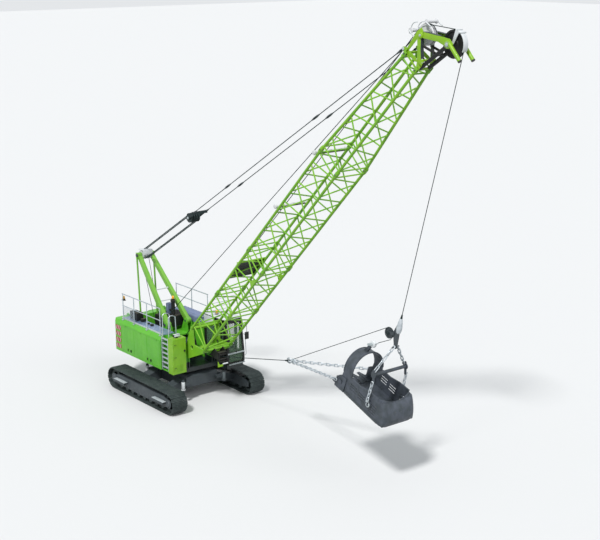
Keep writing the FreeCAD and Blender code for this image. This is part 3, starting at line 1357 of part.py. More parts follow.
def bucket_teeth():
    shapes = []
    half = d.bucket_half_width
    count = int(d.tooth_count)
    root = -d.bucket_front - 60 - d.seat_gap
    for k in range(count):
        y = -half + 150 + k * (2 * half - 300) / (count - 1)
        z0, z1 = -d.bucket_floor - 25, -d.bucket_floor + 45
        blade = [(root, z0 - 20), (root, z1 + 25), (root - d.tooth_length, z0 + 25), (root - d.tooth_length, z0 + 5)]
        shapes.append(plate(blade, y - 55, y + 55))
    feature("bucket_teeth", Part.makeCompound(shapes), bucket_place)


# ---------------------------------------------------------------- drag line

hitch = bucket_place.multVec(V(-d.hitch_x, 0, -d.hitch_z))
yoke_pin = V(d.yoke_x, 0, d.yoke_z)
yoke_half = 30
yoke_tail = yoke_pin + (hitch - yoke_pin).normalize() * 170


def drag_chains():
    """Both drag chains, gathered on the yoke's tail pins."""
    start = V(hitch.x, hitch_aside + 38, hitch.z)
    end = V(yoke_tail.x, yoke_half + 34, yoke_tail.z)
    plates = eyed(yoke_pin, yoke_tail, 62, -yoke_half, yoke_half)
    pins = both_sides([chain_pin(yoke_tail.x, yoke_tail.z, yoke_half, yoke_half + 60)])
    plates = plates.cut(disc(yoke_pin.x, yoke_pin.z, -yoke_half - 1, yoke_half + 1, 24 + d.pin_clearance))
    feature("drag_chains", Part.makeCompound([*both_sides(chain(start, end)), fused([plates, *pins])]))


def drag_rope():
    """Drag rope from inside the fairlead to the forked socket on the yoke."""
    mouth = V(d.fairlead_x, 0, d.fairlead_z)
    line = (yoke_pin - mouth).normalize()
    rope = bar(mouth - line * 260, yoke_pin - line * 320, d.drag_rope_radius, 8)
    cone = taper(yoke_pin - line * 320, line, 200, 26, 46)
    near = yoke_pin - line * 125
    inner = yoke_half + d.seat_gap
    fork = both_sides([eyed(near, yoke_pin, 44, inner, inner + 22)])
    crown = eyed(near, near + line * 5, 44, -inner - 1, inner + 1)
    pin = disc(yoke_pin.x, yoke_pin.z, -inner - 28, inner + 28, 24)
    feature("drag_rope", fused([rope, cone, crown, *fork, pin]))


# ---------------------------------------------------------------- the whole machine

crawlers()
carbody()
slew_ring()
deck()
counterweight()
house_right()
side_door()
engine()
house_left()
hood()
front_box()
front_box_door()
ladder()
railings()
walkway()
winches()
gantry()
gantry_struts()
gantry_sheaves()
roof_kit()
cab()
cab_door()
cab_seat()
cab_glass()
boom_foot()
boom_sections()
boom_head()
head_struts()
head_sheaves()
guide_rollers()
rope_guard()
fairlead()
stays()
hoist_line()
hanger()
spreader()
hoist_chains()
bucket()
bucket_teeth()
drag_chains()
drag_rope()

doc.recompute()
for obj in doc.Objects:
    if "Invalid" in obj.State or "Error" in obj.State:
        raise RuntimeError("%s did not compute" % obj.Label)
for obj in sub_parts:
    if obj.Shape.isNull() or not obj.Shape.isValid():
        raise RuntimeError("%s is not a valid shape" % obj.Label)

os.makedirs("parts", exist_ok=True)
for obj in sub_parts:
    obj.Shape.exportStep("parts/%s.step" % obj.Label)
print(len(sub_parts), "sub-parts")
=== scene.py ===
import math

import bmesh
import bpy
from mathutils import Matrix, Vector


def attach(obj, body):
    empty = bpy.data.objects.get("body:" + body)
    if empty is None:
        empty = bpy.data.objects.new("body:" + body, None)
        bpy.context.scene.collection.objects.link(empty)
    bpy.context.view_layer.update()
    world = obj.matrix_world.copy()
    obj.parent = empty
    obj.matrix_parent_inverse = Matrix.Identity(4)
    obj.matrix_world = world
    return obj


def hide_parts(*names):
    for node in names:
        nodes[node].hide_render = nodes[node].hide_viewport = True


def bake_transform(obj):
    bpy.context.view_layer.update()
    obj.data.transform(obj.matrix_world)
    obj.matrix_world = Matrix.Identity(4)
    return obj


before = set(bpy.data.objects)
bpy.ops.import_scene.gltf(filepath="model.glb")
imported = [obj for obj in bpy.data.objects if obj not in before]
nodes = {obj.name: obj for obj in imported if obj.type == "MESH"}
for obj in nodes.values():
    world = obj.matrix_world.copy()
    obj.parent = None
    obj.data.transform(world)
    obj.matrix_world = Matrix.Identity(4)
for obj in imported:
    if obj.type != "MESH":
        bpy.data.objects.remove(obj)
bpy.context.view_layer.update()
X, Y, Z = Vector((1, 0, 0)), Vector((0, 1, 0)), Vector((0, 0, 1))


# ---------------------------------------------------------------- materials

def tint(red, green, blue):
    """An 8-bit colour as the linear one that shaders use."""
    share = [c / 255 for c in (red, green, blue)]
    return tuple(c / 12.92 if c < 0.04045 else ((c + 0.055) / 1.055) ** 2.4 for c in share) + (1,)


def new_material(name):
    material = bpy.data.materials.new(name)
    material.use_nodes = True
    return material, material.node_tree, material.node_tree.nodes["Principled BSDF"]


def feed(tree, value, socket):
    """Links a node's output to a socket, or sets the socket to a plain value."""
    if isinstance(value, bpy.types.NodeSocket):
        tree.links.new(value, socket)
    else:
        socket.default_value = value


def fill(tree, node, **values):
    """Feeds inputs of a node by name, with an underscore for each space in the name."""
    for key, value in values.items():
        feed(tree, value, node.inputs[key.replace("_", " ")])
    return node


def add_node(tree, kind, **values):
    return fill(tree, tree.nodes.new("ShaderNode" + kind), **values).outputs


def upward(tree, vector):
    return add_node(tree, "SeparateXYZ", Vector=vector)["Z"]


def spread(tree, value, low, high, to_low=0.0, to_high=1.0):
    """Stretches what lies between two values over another range."""
    return add_node(tree, "MapRange", Value=value, From_Min=low, From_Max=high, To_Min=to_low,
                    To_Max=to_high)["Result"]


def calculated(tree, one, two, operation="MULTIPLY"):
    node = tree.nodes.new("ShaderNodeMath")
    node.operation = operation
    feed(tree, one, node.inputs[0])
    feed(tree, two, node.inputs[1])
    return node.outputs[0]


def mix(tree, share, under, over):
    """A colour that turns from one into another as the share rises."""
    node = tree.nodes.new("ShaderNodeMix")
    node.data_type = "RGBA"
    tree.links.new(share, node.inputs["Factor"])
    for socket, colour in zip([s for s in node.inputs if s.type == "RGBA"], (under, over)):
        feed(tree, colour, socket)
    return [s for s in node.outputs if s.type == "RGBA"][0]


# From which value of its noise each mark starts to show, and from which it shows in full.
PATCHES, STREAKS, CHIPS = (0.35, 0.65), (0.52, 0.75), (0.66, 0.70)
FACING_UP, DUST = (0.3, 0.95), (0.35, 0.7)
STREAK_STRETCH = (9, 9, 0.9)
BARE_METAL = tint(120, 116, 110)
GRAIN_DEPTH = 0.004


def finish(name, base, other, rough=0.45, metal=0.0, scale=1.5, bump=0.15, dust=0.25, streaks=0.25,
           wear=0.0, pattern=None, coat=0.0, dust_tint=(150, 140, 118)):
    """A weathered surface: two tones in soft patches, dust on what faces up, streaks and bare chips."""
    material, tree, shader = new_material(name)
    place = add_node(tree, "TexCoord")["Object"]

    def noise(size, detail, where=place):
        return add_node(tree, "TexNoise", Vector=where, Scale=size, Detail=detail)["Fac"]

    colour = mix(tree, spread(tree, noise(scale, 4.0), *PATCHES), tint(*base), tint(*other))
    if streaks:
        stretched = add_node(tree, "Mapping", Vector=place, Scale=STREAK_STRETCH)["Vector"]
        share = calculated(tree, spread(tree, noise(1.0, 6.0, stretched), *STREAKS), streaks)
        colour = mix(tree, share, colour, tuple(0.45 * c for c in tint(*base)[:3]) + (1,))
    if dust:
        facing = spread(tree, upward(tree, add_node(tree, "NewGeometry")["Normal"]), *FACING_UP)
        lying = calculated(tree, facing, spread(tree, noise(3.0, 8.0), *DUST))
        colour = mix(tree, calculated(tree, lying, dust), colour, tint(*dust_tint))
    if wear:
        chips = spread(tree, noise(26.0, 8.0), *CHIPS)
        colour = mix(tree, calculated(tree, chips, wear), colour, BARE_METAL)
    grain = pattern(tree, place) if pattern else noise(90.0, 2.0)
    relief = add_node(tree, "Bump", Strength=bump, Distance=GRAIN_DEPTH, Height=grain)["Normal"]
    gloss = spread(tree, noise(7.0, 6.0), 0.3, 0.7, rough - 0.1, rough + 0.12)
    fill(tree, shader, Base_Color=colour, Metallic=metal, Coat_Weight=coat, Roughness=gloss, Normal=relief)
    return material


def tread(tree, place):
    """Raised diamond tread of a walkway plate."""
    turned = add_node(tree, "Mapping", Vector=place, Rotation=(0, 0, math.radians(45)))["Vector"]
    return add_node(tree, "TexVoronoi", Vector=turned, Scale=22.0)["Distance"]


def strands(tree, place):
    """The lay of a wire rope."""
    turned = add_node(tree, "Mapping", Vector=place, Rotation=(0.3, 0.5, 0.6))["Vector"]
    return add_node(tree, "TexWave", Vector=turned, Scale=30.0)["Fac"]


def painted_shade_below(material, height, colour):
    """Paints what lies under a height in a darker colour: painted shade on the deck under the boom foot."""
    tree = material.node_tree
    shader = tree.nodes["Principled BSDF"]
    share = calculated(tree, upward(tree, add_node(tree, "TexCoord")["Object"]), height, "LESS_THAN")
    under = shader.inputs["Base Color"].links[0].from_socket
    fill(tree, shader, Base_Color=mix(tree, share, under, tint(*colour)))
    return material


green = finish("green_paint", (88, 176, 40), (98, 184, 44), rough=0.42, coat=0.08, dust=0.08, streaks=0.16)
light_green = finish("light_green_paint", (136, 188, 38), (122, 180, 36), rough=0.44, coat=0.06, dust=0.08)
black = finish("black_steel", (22, 24, 24), (34, 35, 34), rough=0.55, metal=0.3, dust=0.35, wear=0.2)
track_paint = finish("track_steel", (50, 60, 60), (64, 74, 73), rough=0.6, metal=0.3, scale=6, dust=0.18,
                     streaks=0.4, wear=0.4, bump=0.4, dust_tint=(104, 112, 110))
dark_paint = finish("dark_paint", (56, 64, 68), (66, 73, 77), rough=0.52, dust=0.15, streaks=0.3, wear=0.3,
                    dust_tint=(104, 110, 110))
# Used only on the far jack sleeves, as painted shade on their white.
far_sleeve_shade_grey = finish("grey_paint", (96, 104, 108), (110, 118, 120), rough=0.5, dust=0.3, streaks=0.3)
light_grey = finish("light_grey_paint", (176, 186, 188), (192, 200, 202), rough=0.45, dust=0.2)
white = finish("white_paint", (224, 227, 228), (208, 212, 214), rough=0.45, dust=0.1, streaks=0.25)
silver = finish("galvanised_steel", (176, 188, 196), (200, 208, 214), rough=0.35, metal=0.75, scale=14,
                dust=0.15)
boom_green = finish("boom_green_paint", (134, 190, 44), (112, 176, 38), rough=0.46, dust=0.05, streaks=0.12)
leg_green = finish("leg_green_paint", (120, 180, 62), (110, 172, 54), rough=0.44, coat=0.06, dust=0.08,
                   streaks=0.14)
head_green = finish("head_green_paint", (142, 188, 28), (124, 178, 26), rough=0.44, coat=0.06, dust=0.05)
plate = finish("tread_plate", (140, 164, 204), (160, 182, 216), rough=0.38, metal=0.6, scale=5, dust=0.2,
               pattern=tread, bump=0.7)
hood_paint = finish("hood_paint", (106, 118, 150), (120, 132, 162), rough=0.5, dust=0.1,
                    dust_tint=(150, 152, 164))
worn = finish("bucket_steel", (68, 75, 80), (86, 92, 102), rough=0.5, metal=0.45, scale=4, dust=0.14,
              streaks=0.4, wear=0.6, bump=0.4, dust_tint=(112, 116, 116))
chain_steel = finish("chain_steel", (206, 212, 216), (176, 184, 190), rough=0.38, metal=0.35, scale=9,
                     dust=0.0, streaks=0.35)
bolt_steel = finish("bolt_steel", (116, 124, 126), (88, 96, 98), rough=0.4, metal=0.7, scale=20, dust=0.1)
reeving_steel = finish("reeving_steel", (26, 44, 46), (38, 58, 58), rough=0.55, metal=0.3, scale=12, dust=0.0,
                       streaks=0.0)
rope_steel = finish("wire_rope", (24, 38, 40), (40, 56, 56), rough=0.5, metal=0.6, scale=12, dust=0.0,
                    streaks=0.0, pattern=strands, bump=0.8)
nylon = finish("white_nylon", (222, 222, 222), (202, 203, 206), rough=0.55, dust=0.0, streaks=0.3)
amber = finish("amber_plastic", (244, 160, 16), (250, 180, 30), rough=0.25, coat=0.5, dust=0.0, streaks=0.0)
red = finish("red_paint", (176, 34, 30), (150, 30, 28), rough=0.42, dust=0.1)
rubber = finish("black_rubber", (26, 26, 27), (36, 36, 36), rough=0.7, dust=0.2, streaks=0.1)
fabric = finish("seat_fabric", (38, 40, 44), (52, 54, 58), rough=0.85, scale=60, dust=0.0, streaks=0.0,
                bump=0.6)
lens = finish("lamp_lens", (228, 234, 236), (206, 214, 218), rough=0.18, dust=0.0, streaks=0.0, coat=0.6)

glass, tree, pane = new_material("pane_glass")
smears = spread(tree, add_node(tree, "TexNoise", Scale=5.0)["Fac"], 0.0, 1.0, 0.03, 0.14)
fill(tree, pane, Base_Color=tint(120, 160, 125), Alpha=0.22, Roughness=smears)

# Below this height the deck's dark colour is painted shade.
DECK_SHADE_TOP = 1.62
deck_paint_with_painted_shade = painted_shade_below(finish("deck_paint_with_painted_shade", (88, 176, 40), (98, 184, 44), rough=0.42, coat=0.08, dust=0.08),
                      DECK_SHADE_TOP, (24, 34, 34))

PAINT = {
    green: "house_right side_door house_left counterweight",
    deck_paint_with_painted_shade: "deck",
    boom_green: "boom_foot boom_section_1 boom_section_2 boom_top",
    leg_green: "gantry_legs gantry_struts",
    head_green: "boom_head",
    light_green: "front_box front_box_door",
    black: "fairlead rope_guard exhaust engine winches slew_ring head_struts point_sheave cab_body cab_door",
    dark_paint: "carbody track_frame_right track_frame_left hanger",
    track_paint: "track_right track_left track_wheels_right track_wheels_left",
    worn: "bucket bucket_teeth spreader",
    chain_steel: "hoist_chains drag_chains",
    silver: "railings ladder",
    plate: "walkway",
    hood_paint: "hood",
    rope_steel: "hoist_rope drag_rope pendants bridle",
    nylon: "head_sheaves guide_rollers gantry_sheaves",
    amber: "lamps",
    fabric: "cab_seat",
    glass: "cab_glass cab_door_glass",
}
for material, names in PAINT.items():
    for name in names.split():
        slots = nodes[name].data.materials
        slots.clear()
        slots.append(material)


# ---------------------------------------------------------------- mesh helpers

def put(name, data):
    """A new object in the scene."""
    obj = bpy.data.objects.new(name, data)
    bpy.context.scene.collection.objects.link(obj)
    return obj


def evenly(first, last, count):
    return [first + (last - first) * k / (count - 1) for k in range(count)]


def full_turn(count, start=0.0):
    return [360 * (k + start) / count for k in range(count)]


def around(centre, radius, angles, one=X, two=Z):
    """Points on a circle, at angles in degrees that turn from one direction to the other."""
    turns = [math.radians(angle) for angle in angles]
    return [Vector(centre) + one * (radius * math.cos(t)) + two * (radius * math.sin(t)) for t in turns]


def square_to(run):
    return run.cross(Z if abs(run.z) < 0.9 else Y).normalized()


class Form:
    """The faces of one piece, collected before it becomes an object."""

    def __init__(self):
        self.points = []
        self.faces = []

    def add(self, points, faces):
        first = len(self.points)
        self.points += [Vector(p) for p in points]
        self.faces += [[first + i for i in face] for face in faces]
        return self

    def box(self, x0, x1, y0, y1, z0, z1):
        points = [(x, y, z) for x in (x0, x1) for y in (y0, y1) for z in (z0, z1)]
        faces = [(0, 1, 3, 2), (4, 6, 7, 5), (0, 4, 5, 1), (2, 3, 7, 6), (0, 2, 6, 4), (1, 5, 7, 3)]
        return self.add(points, faces)

    def loops(self, rings, closed=False, caps=True):
        """Joins rings of points, each as long as the next."""
        count = len(rings[0])
        faces = []
        spans = len(rings) if closed else len(rings) - 1
        for i in range(spans):
            a, b = i * count, (i + 1) % len(rings) * count
            for k in range(count):
                n = (k + 1) % count
                faces.append((a + k, a + n, b + n, b + k))
        if caps and not closed:
            faces.append(tuple(range(count))[::-1])
            faces.append(tuple((len(rings) - 1) * count + k for k in range(count)))
        return self.add([p for ring in rings for p in ring], faces)

    def slab(self, outline, offset):
        """A flat outline of points pushed along an offset."""
        return self.loops([[Vector(p) for p in outline], [Vector(p) + Vector(offset) for p in outline]])

    def tube(self, points, radius, sides=8, closed=False):
        """A round tube through points, with one radius or a list with one for each point."""
        points = [Vector(p) for p in points]
        count = len(points)
        rings = []
        up = None
        for i, p in enumerate(points):
            ahead = points[(i + 1) % count] if closed or i < count - 1 else p
            behind = points[i - 1] if closed or i > 0 else p
            run = (ahead - behind).normalized()
            if up is None:
                up = square_to(run)
            up = (up - run * up.dot(run)).normalized()
            size = radius[i] if isinstance(radius, list) else radius
            rings.append(around(p, size, full_turn(sides, 0.5), up, run.cross(up)))
        return self.loops(rings, closed)

    def bar(self, centre, half, radius, sides):
        """A round bar along Y that reaches as far to both sides of its centre."""
        return self.tube([Vector(centre) - Y * half, Vector(centre) + Y * half], radius, sides)

    def lathe(self, centre, axis, profile, sides=24):
        """Turns (radius, distance along the axis) pairs about an axis."""
        one, turn = square_to(axis), full_turn(sides)
        return self.loops([around(Vector(centre) + axis * along, radius, turn, one, axis.cross(one))
                           for radius, along in profile])

    def cap(self, centre, axis, radius, height, top, rise, sides=24):
        """A disc that narrows to a smaller top."""
        return self.lathe(centre, axis, [(radius, 0), (radius, height), (top, rise)], sides)

    def bolt(self, centre, axis, size=0.014, height=0.012):
        return self.cap(centre, axis, size, height, 0.6 * size, 1.15 * height, 6)

    def moved(self, matrix):
        self.points = [matrix @ p for p in self.points]
        return self

    def mirrored(self):
        """The same form again on the other side of the machine."""
        first = len(self.points)
        self.points += [Vector((p.x, -p.y, p.z)) for p in self.points]
        self.faces += [[first + i for i in reversed(face)] for face in list(self.faces)]
        return self

    def piece(self, name, body, material, bevel=0.0, smooth=35.0, replaced=()):
        mesh = bpy.data.meshes.new(name)
        mesh.from_pydata([tuple(p) for p in self.points], [], self.faces)
        work = bmesh.new()
        work.from_mesh(mesh)
        bmesh.ops.recalc_face_normals(work, faces=work.faces)
        if bevel:
            sharp = [e for e in work.edges
                     if len(e.link_faces) == 2 and e.calc_face_angle() > math.radians(40)]
            bmesh.ops.bevel(work, geom=sharp, offset=bevel, segments=2, affect="EDGES", profile=0.6)
        for edge in work.edges:
            edge.smooth = len(edge.link_faces) == 2 and edge.calc_face_angle(0.0) < math.radians(smooth)
        for face in work.faces:
            face.smooth = True
        work.to_mesh(mesh)
        work.free()
        mesh.materials.append(material)
        obj = put(name, mesh)
        if body:
            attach(obj, body)
        if replaced:
            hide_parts(*replaced)
        return obj


def forms(count):
    return [Form() for _ in range(count)]


# The boom's own axes: s runs from the foot pin to the head, n is its upper side.
BOOM_FOOT = Vector((1.03, 0, 1.85))
BOOM_RISE = math.radians(45.4)
ALONG = Vector((math.cos(BOOM_RISE), 0, math.sin(BOOM_RISE)))
ABOVE = Vector((-math.sin(BOOM_RISE), 0, math.cos(BOOM_RISE)))


def boom(s, y, n):
    return BOOM_FOOT + ALONG * s + ABOVE * n + Y * y


def on_boom(y, *places):
    """Points of the boom at one distance from its middle."""
    return [boom(s, y, n) for s, n in places]


def blended(form, name, material):
    """A piece that belongs to no body, with its points fixed where they are drawn."""
    obj = form.piece(name, None, material)
    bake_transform(obj)
    return obj


# ---------------------------------------------------------------- camera, floor and light

EYE = Vector((41.51, -27.21, 17.83))
AHEAD = Vector((-0.7552, 0.6063, -0.2493)).normalized()
RIGHT = Vector((0.6266, 0.7793, -0.0028)).normalized()
camera = put("camera", bpy.data.cameras.new("camera"))
camera.matrix_world = (Matrix.Translation(EYE) @
                       Matrix((RIGHT, RIGHT.cross(AHEAD), -AHEAD)).transposed().to_4x4())
camera.data.lens = 75.33
camera.data.sensor_width = 36
camera.data.clip_end = 500
bpy.context.scene.camera = camera


def as_seen(tree, seen, bounced):
    """One colour where the camera or a reflection sees the surface, another for the light it gives back."""
    rays = add_node(tree, "LightPath")
    share = rays["Is Camera Ray"]
    for name in ("Is Glossy Ray", "Is Transmission Ray"):
        share = calculated(tree, share, rays[name], "MAXIMUM")
    return mix(tree, share, bounced, seen)


floor_mesh = bpy.data.meshes.new("floor")
FLOOR = 300
corners = [(x * FLOOR, y * FLOOR, 0) for x, y in ((-1, -1), (1, -1), (1, 1), (-1, 1))]
floor_mesh.from_pydata(corners, [], [(0, 1, 2, 3)])
floor = put("floor", floor_mesh)
floor_paint, tree, shader = new_material("floor")
fill(tree, shader, Base_Color=as_seen(tree, (0.72, 0.72, 0.715, 1), (0.26, 0.27, 0.26, 1)), Roughness=0.9)
floor_mesh.materials.append(floor_paint)

world = bpy.data.worlds.new("studio")
bpy.context.scene.world = world
world.use_nodes = True
tree = world.node_tree
fill(tree, tree.nodes["Background"], Strength=1.0,
     Color=as_seen(tree, (0.78, 0.80, 0.82, 1), (0.50, 0.53, 0.56, 1)))


def sun(name, strength, angle, azimuth, elevation):
    light = put(name, bpy.data.lights.new(name, "SUN"))
    light.data.energy = strength
    light.data.angle = math.radians(angle)
    a, e = math.radians(azimuth), math.radians(elevation)
    towards = Vector((math.cos(e) * math.cos(a), math.cos(e) * math.sin(a), math.sin(e)))
    light.rotation_euler = towards.to_track_quat("Z", "Y").to_euler()


sun("key", 2.7, 8, -62, 50)
sun("fill", 0.5, 40, 15, 35)

bpy.context.scene.view_settings.view_transform = "Standard"

# ---------------------------------------------------------------- detail pieces

# The pieces below repeat a few of the machine's own sizes, in metres.
FLANK, ROOF = 1.43, 2.70
CHORD, BRACE = 0.05, 0.026
# Half the width and half the depth between the boom's chords, full and at the head, and where it is joined.
FULL, SLIM = (0.635, 0.543), (0.29, 0.34)
JOINTS = ((3.86, FULL), (6.82, FULL), (12.72, FULL), (17.64, SLIM))
SECTIONS = ("boom_section_1", 5), ("boom_section_2", 10), ("boom_top", 8)
# Each winch drum's place, its radius and half its length between the flanges.
DRUMS = (0.13, 2.02, 0.23, 0.26), (-0.64, 1.88, 0.23, 0.26), (-1.90, 1.80, 0.17, 0.35)
GANTRY_FOOT, GANTRY_HEAD = Vector((-0.47, 0, 2.80)), Vector((-2.84, 0, 5.26))
BRIDLE, STAY_PIN = Vector((0.87, 0, 7.46)), boom(17.69, 0, 0.50)


def round_plate(form, a, b, radius, y0, y1):
    """A link plate in the XZ plane with round ends about two points."""
    run = (b - a).normalized()
    outline = []
    for centre, reach in ((b, radius), (a, -radius)):
        outline += around(centre + Y * y0, reach, evenly(0, 180, 11), run.cross(Y), run)
    form.slab(outline, Y * (y1 - y0))


def pin(form, centre, y0, y1, radius, head):
    """A pin along Y with a low round head at y1."""
    length = abs(y1 - y0)
    profile = [(radius, 0), (radius, length), (head * radius, length), (head * radius, length + 0.01)]
    form.lathe(centre + Y * y0, Y if y1 > y0 else -Y, profile, 20)


# ---- tracks

AXLE_X, AXLE_Z, LOOP, TRACK_Y, SHOES = 2.05, 0.45, 0.45, 1.9, 60
STRAIGHT, TURN = 2 * AXLE_X, math.pi * LOOP
SHOE_HALF, LINK_Y = 0.32, 0.11
# Outlines in shares of a shoe's length, with heights from its outer face.
SHOE = ((0, -0.045), (0, -0.022), (0.04, -0.006), (0.07, 0), (0.16, 0), (0.22, -0.022), (0.42, -0.022),
        (0.46, 0), (0.55, 0), (0.59, -0.022), (0.79, -0.022), (0.84, 0), (0.93, 0), (0.97, -0.006),
        (1, -0.022), (1, -0.045))
SHOE_END = (0.03, -0.045), (0.03, -0.018), (0.97, -0.018), (0.97, -0.045)
LINK = (-0.04, -0.118), (-0.04, -0.075), (0.1, -0.0455), (0.9, -0.0455), (1.04, -0.075), (1.04, -0.118)


def on_loop(distance):
    """A point on the track's loop, from the rear axle forward along the ground and back over the top."""
    distance %= 2 * (STRAIGHT + TURN)
    for end in (1, -1):
        if distance < STRAIGHT:
            return Vector((end * (distance - AXLE_X), 0, AXLE_Z - end * LOOP))
        distance -= STRAIGHT
        if distance < TURN or end < 0:
            return around((end * AXLE_X, 0, AXLE_Z), LOOP, [math.degrees(distance / LOOP) - 90 * end])[0]
        distance -= TURN


def track(way, side):
    """Every shoe is a ribbed plate bolted to two links, joined by pins."""
    shoes, links, bolts = forms(3)
    pitch = 2 * (STRAIGHT + TURN) / SHOES
    for i in range(SHOES):
        a, b = on_loop((i + 0.05) * pitch), on_loop((i + 0.95) * pitch)
        run, length = (b - a).normalized(), (b - a).length
        out = Y.cross(run)
        if out.dot(a - Z * AXLE_Z) < 0:
            out = -out

        def at(u, n, y=0.0):
            return a + run * (u * length) + out * n + Y * (side * TRACK_Y + y)

        shoes.slab([at(u, n, -SHOE_HALF) for u, n in SHOE], Y * (2 * SHOE_HALF))
        for k in (-1, 1):
            shoes.loops([[at(u, n, k * SHOE_HALF) for u, n in SHOE_END],
                         [at(0.5 + (u - 0.5) * 0.86, min(n, -0.02), k * 0.35) for u, n in SHOE_END]])
            links.slab([at(u, n, k * LINK_Y - 0.02) for u, n in LINK], Y * 0.04)
            for u in (0.33, 0.67):
                for off in (-0.045, 0.045):
                    bolts.bolt(at(u, -0.014, k * LINK_Y + off), out, 0.012, 0.008)
        links.bar(at(0.0, -0.092), 0.16, 0.022, 10)
    shoes.piece(f"crawler_{way}_shoes", "undercarriage", track_paint, 0.003, replaced=(f"track_{way}",))
    links.piece(f"crawler_{way}_links", "undercarriage", track_paint)
    bolts.piece(f"crawler_{way}_bolts", "undercarriage", track_paint)


track("right", -1)
track("left", 1)

hubs, caps, treads = forms(3)
FACE, STEP_Y = TRACK_Y + 0.27, (2.175, 2.355)
for x in (-AXLE_X, AXLE_X):
    hubs.lathe((x, FACE, AXLE_Z), Y, [(0.19, 0), (0.185, 0.02), (0.13, 0.028), (0.11, 0.05), (0.03, 0.055)])
    for spot in around((x, FACE + 0.022, AXLE_Z), 0.157, full_turn(10)):
        caps.bolt(spot, Y)
for x in evenly(-1.3, 1.3, 8):
    caps.bolt((x, FACE, 0.30), Y, 0.02, 0.016)
for x in (-1.43, 1.48):
    treads.box(x - 0.42, x + 0.42, *STEP_Y, 0.5005, 0.506)
    for along in evenly(x - 0.36, x + 0.36, 9):
        for y in (2.229, 2.301):
            treads.lathe((along, y, 0.506), Z, [(0.022, 0), (0.018, 0.006)], 12)
hubs.mirrored().piece("hub_covers", "undercarriage", dark_paint)
caps.mirrored().piece("frame_bolts", "undercarriage", bolt_steel)
treads.mirrored().piece("step_treads", "undercarriage", light_grey, 0.002)

# The far sleeves are grey where the near ones are white: painted shade.
for way, side, colour in (("right", -1, white), ("left", 1, far_sleeve_shade_grey)):
    sleeves = Form()
    for x in (-1.35, 1.35):
        sleeves.lathe((x, side, 0.60), Z, [(0.065, 0), (0.072, 0.01), (0.072, 0.30), (0.065, 0.31)])
        sleeves.lathe((x, side, 0.555), Z, [(0.075, 0), (0.095, 0.015), (0.095, 0.03)])
    sleeves.piece("jack_sleeves_" + way, "undercarriage", colour)

ring = Form()
for spot in around((0, 0, 1.052), 0.72, full_turn(36), X, Y):
    ring.bolt(spot, Z, 0.016, 0.014)
ring.piece("slewing_bolts", "undercarriage", bolt_steel)


# ---- house

marks, stripes = forms(2)
for z in evenly(1.50, 2.30, 4):
    marks.box(-3.06, -2.66, -FLANK - 0.005, -FLANK - 0.0003, z - 0.092, z + 0.092)
    for x in (-3.02, -2.89, -2.76):
        outline = (-0.01, -0.085), (0.02, -0.085), (0.085, 0.085), (0.055, 0.085)
        stripes.slab([(x + u, -FLANK - 0.0052, z + h) for u, h in outline], -Y * 0.003)
marks.mirrored().piece("hazard_plates", "upper", red)
stripes.mirrored().piece("hazard_stripes", "upper", white)

handles, trims = forms(2)
for x in (-2.10, -1.88, -0.58, -0.34):
    handles.box(x - 0.038, x + 0.038, -FLANK - 0.022, -FLANK - 0.001, 1.43, 1.53)
    handles.box(x - 0.022, x + 0.022, -FLANK - 0.034, -FLANK - 0.022, 1.45, 1.51)
handles.piece("flank_latches", "side_door", black, 0.004)
for z0, z1 in ((1.375, 1.395), (2.47, 2.488)):
    trims.box(-2.65, 0.35, -FLANK - 0.006, -FLANK - 0.0005, z0, z1)
for x in (-2.65, -1.65, -0.65, 0.33):
    trims.box(x, x + 0.018, -FLANK - 0.006, -FLANK - 0.0005, 1.395, 2.47)
trims.piece("flank_door_ribs", "side_door", green, 0.002)

eaves = Form()
eaves.box(-2.72, 0.41, -1.312, -1.288, ROOF + 0.001, ROOF + 0.06)
eaves.box(-2.72, 0.27, 1.288, 1.312, ROOF + 0.001, ROOF + 0.05)
eaves.piece("roof_toe_boards", "upper", light_grey, 0.003)

louvres = Form()
for x in evenly(-1.70, -0.35, 12):
    outline = [(x, 3.001), (x + 0.075, 3.001), (x + 0.02, 3.028)]
    louvres.slab([(u, 0.82, h) for u, h in outline], Y * 0.38)
louvres.tube([(-1.0, 1.291, 2.80), (-1.0, 1.33, 2.80), (-0.8, 1.33, 2.80), (-0.8, 1.291, 2.80)], 0.010, 8)
louvres.piece("hood_louvres", "upper", hood_paint, 0.002)

grille, slats = forms(2)
grille.box(-2.42, -1.86, -1.10, -0.80, ROOF + 0.002, 3.06)
grille.box(-1.74, -1.60, -1.02, -0.82, ROOF + 0.002, 2.86)
for x in evenly(-2.38, -1.90, 9):
    slats.box(x - 0.006, x + 0.006, -1.108, -1.1003, ROOF + 0.03, 3.04)
for z in evenly(2.76, 3.01, 5):
    slats.box(-2.41, -1.87, -1.1076, -1.1008, z - 0.005, z + 0.005)
grille.piece("walkway_boxes", "upper", black, 0.006)
slats.piece("walkway_box_slats", "upper", dark_paint)

lids = Form()
for x, y, z, radius in ((-0.95, -0.95, 0.031, 0.08), (-1.2, -0.95, 0.031, 0.05), (-0.35, 1.12, 0.002, 0.07)):
    lids.cap((x, y, ROOF + z), Z, radius, 0.045, 0.85 * radius, 0.06)
lids.piece("tank_caps", "upper", black)

door_kit = Form()
for z in (1.56, 2.0, 2.52):
    for y in (-1.36, -1.30):
        door_kit.bolt((1.345, y, z), X, 0.016)
door_kit.cap((1.361, -0.90, 2.22), X, 0.045, 0.01, 0.02, 0.018)
door_kit.piece("cabinet_hinges", "front_box_door", black)
vents = Form()
for z in evenly(1.42, 1.66, 6):
    vents.box(1.3345, 1.344, -1.30, -0.98, z, z + 0.022)
vents.piece("cabinet_vents", "front_box_door", light_green, 0.002)

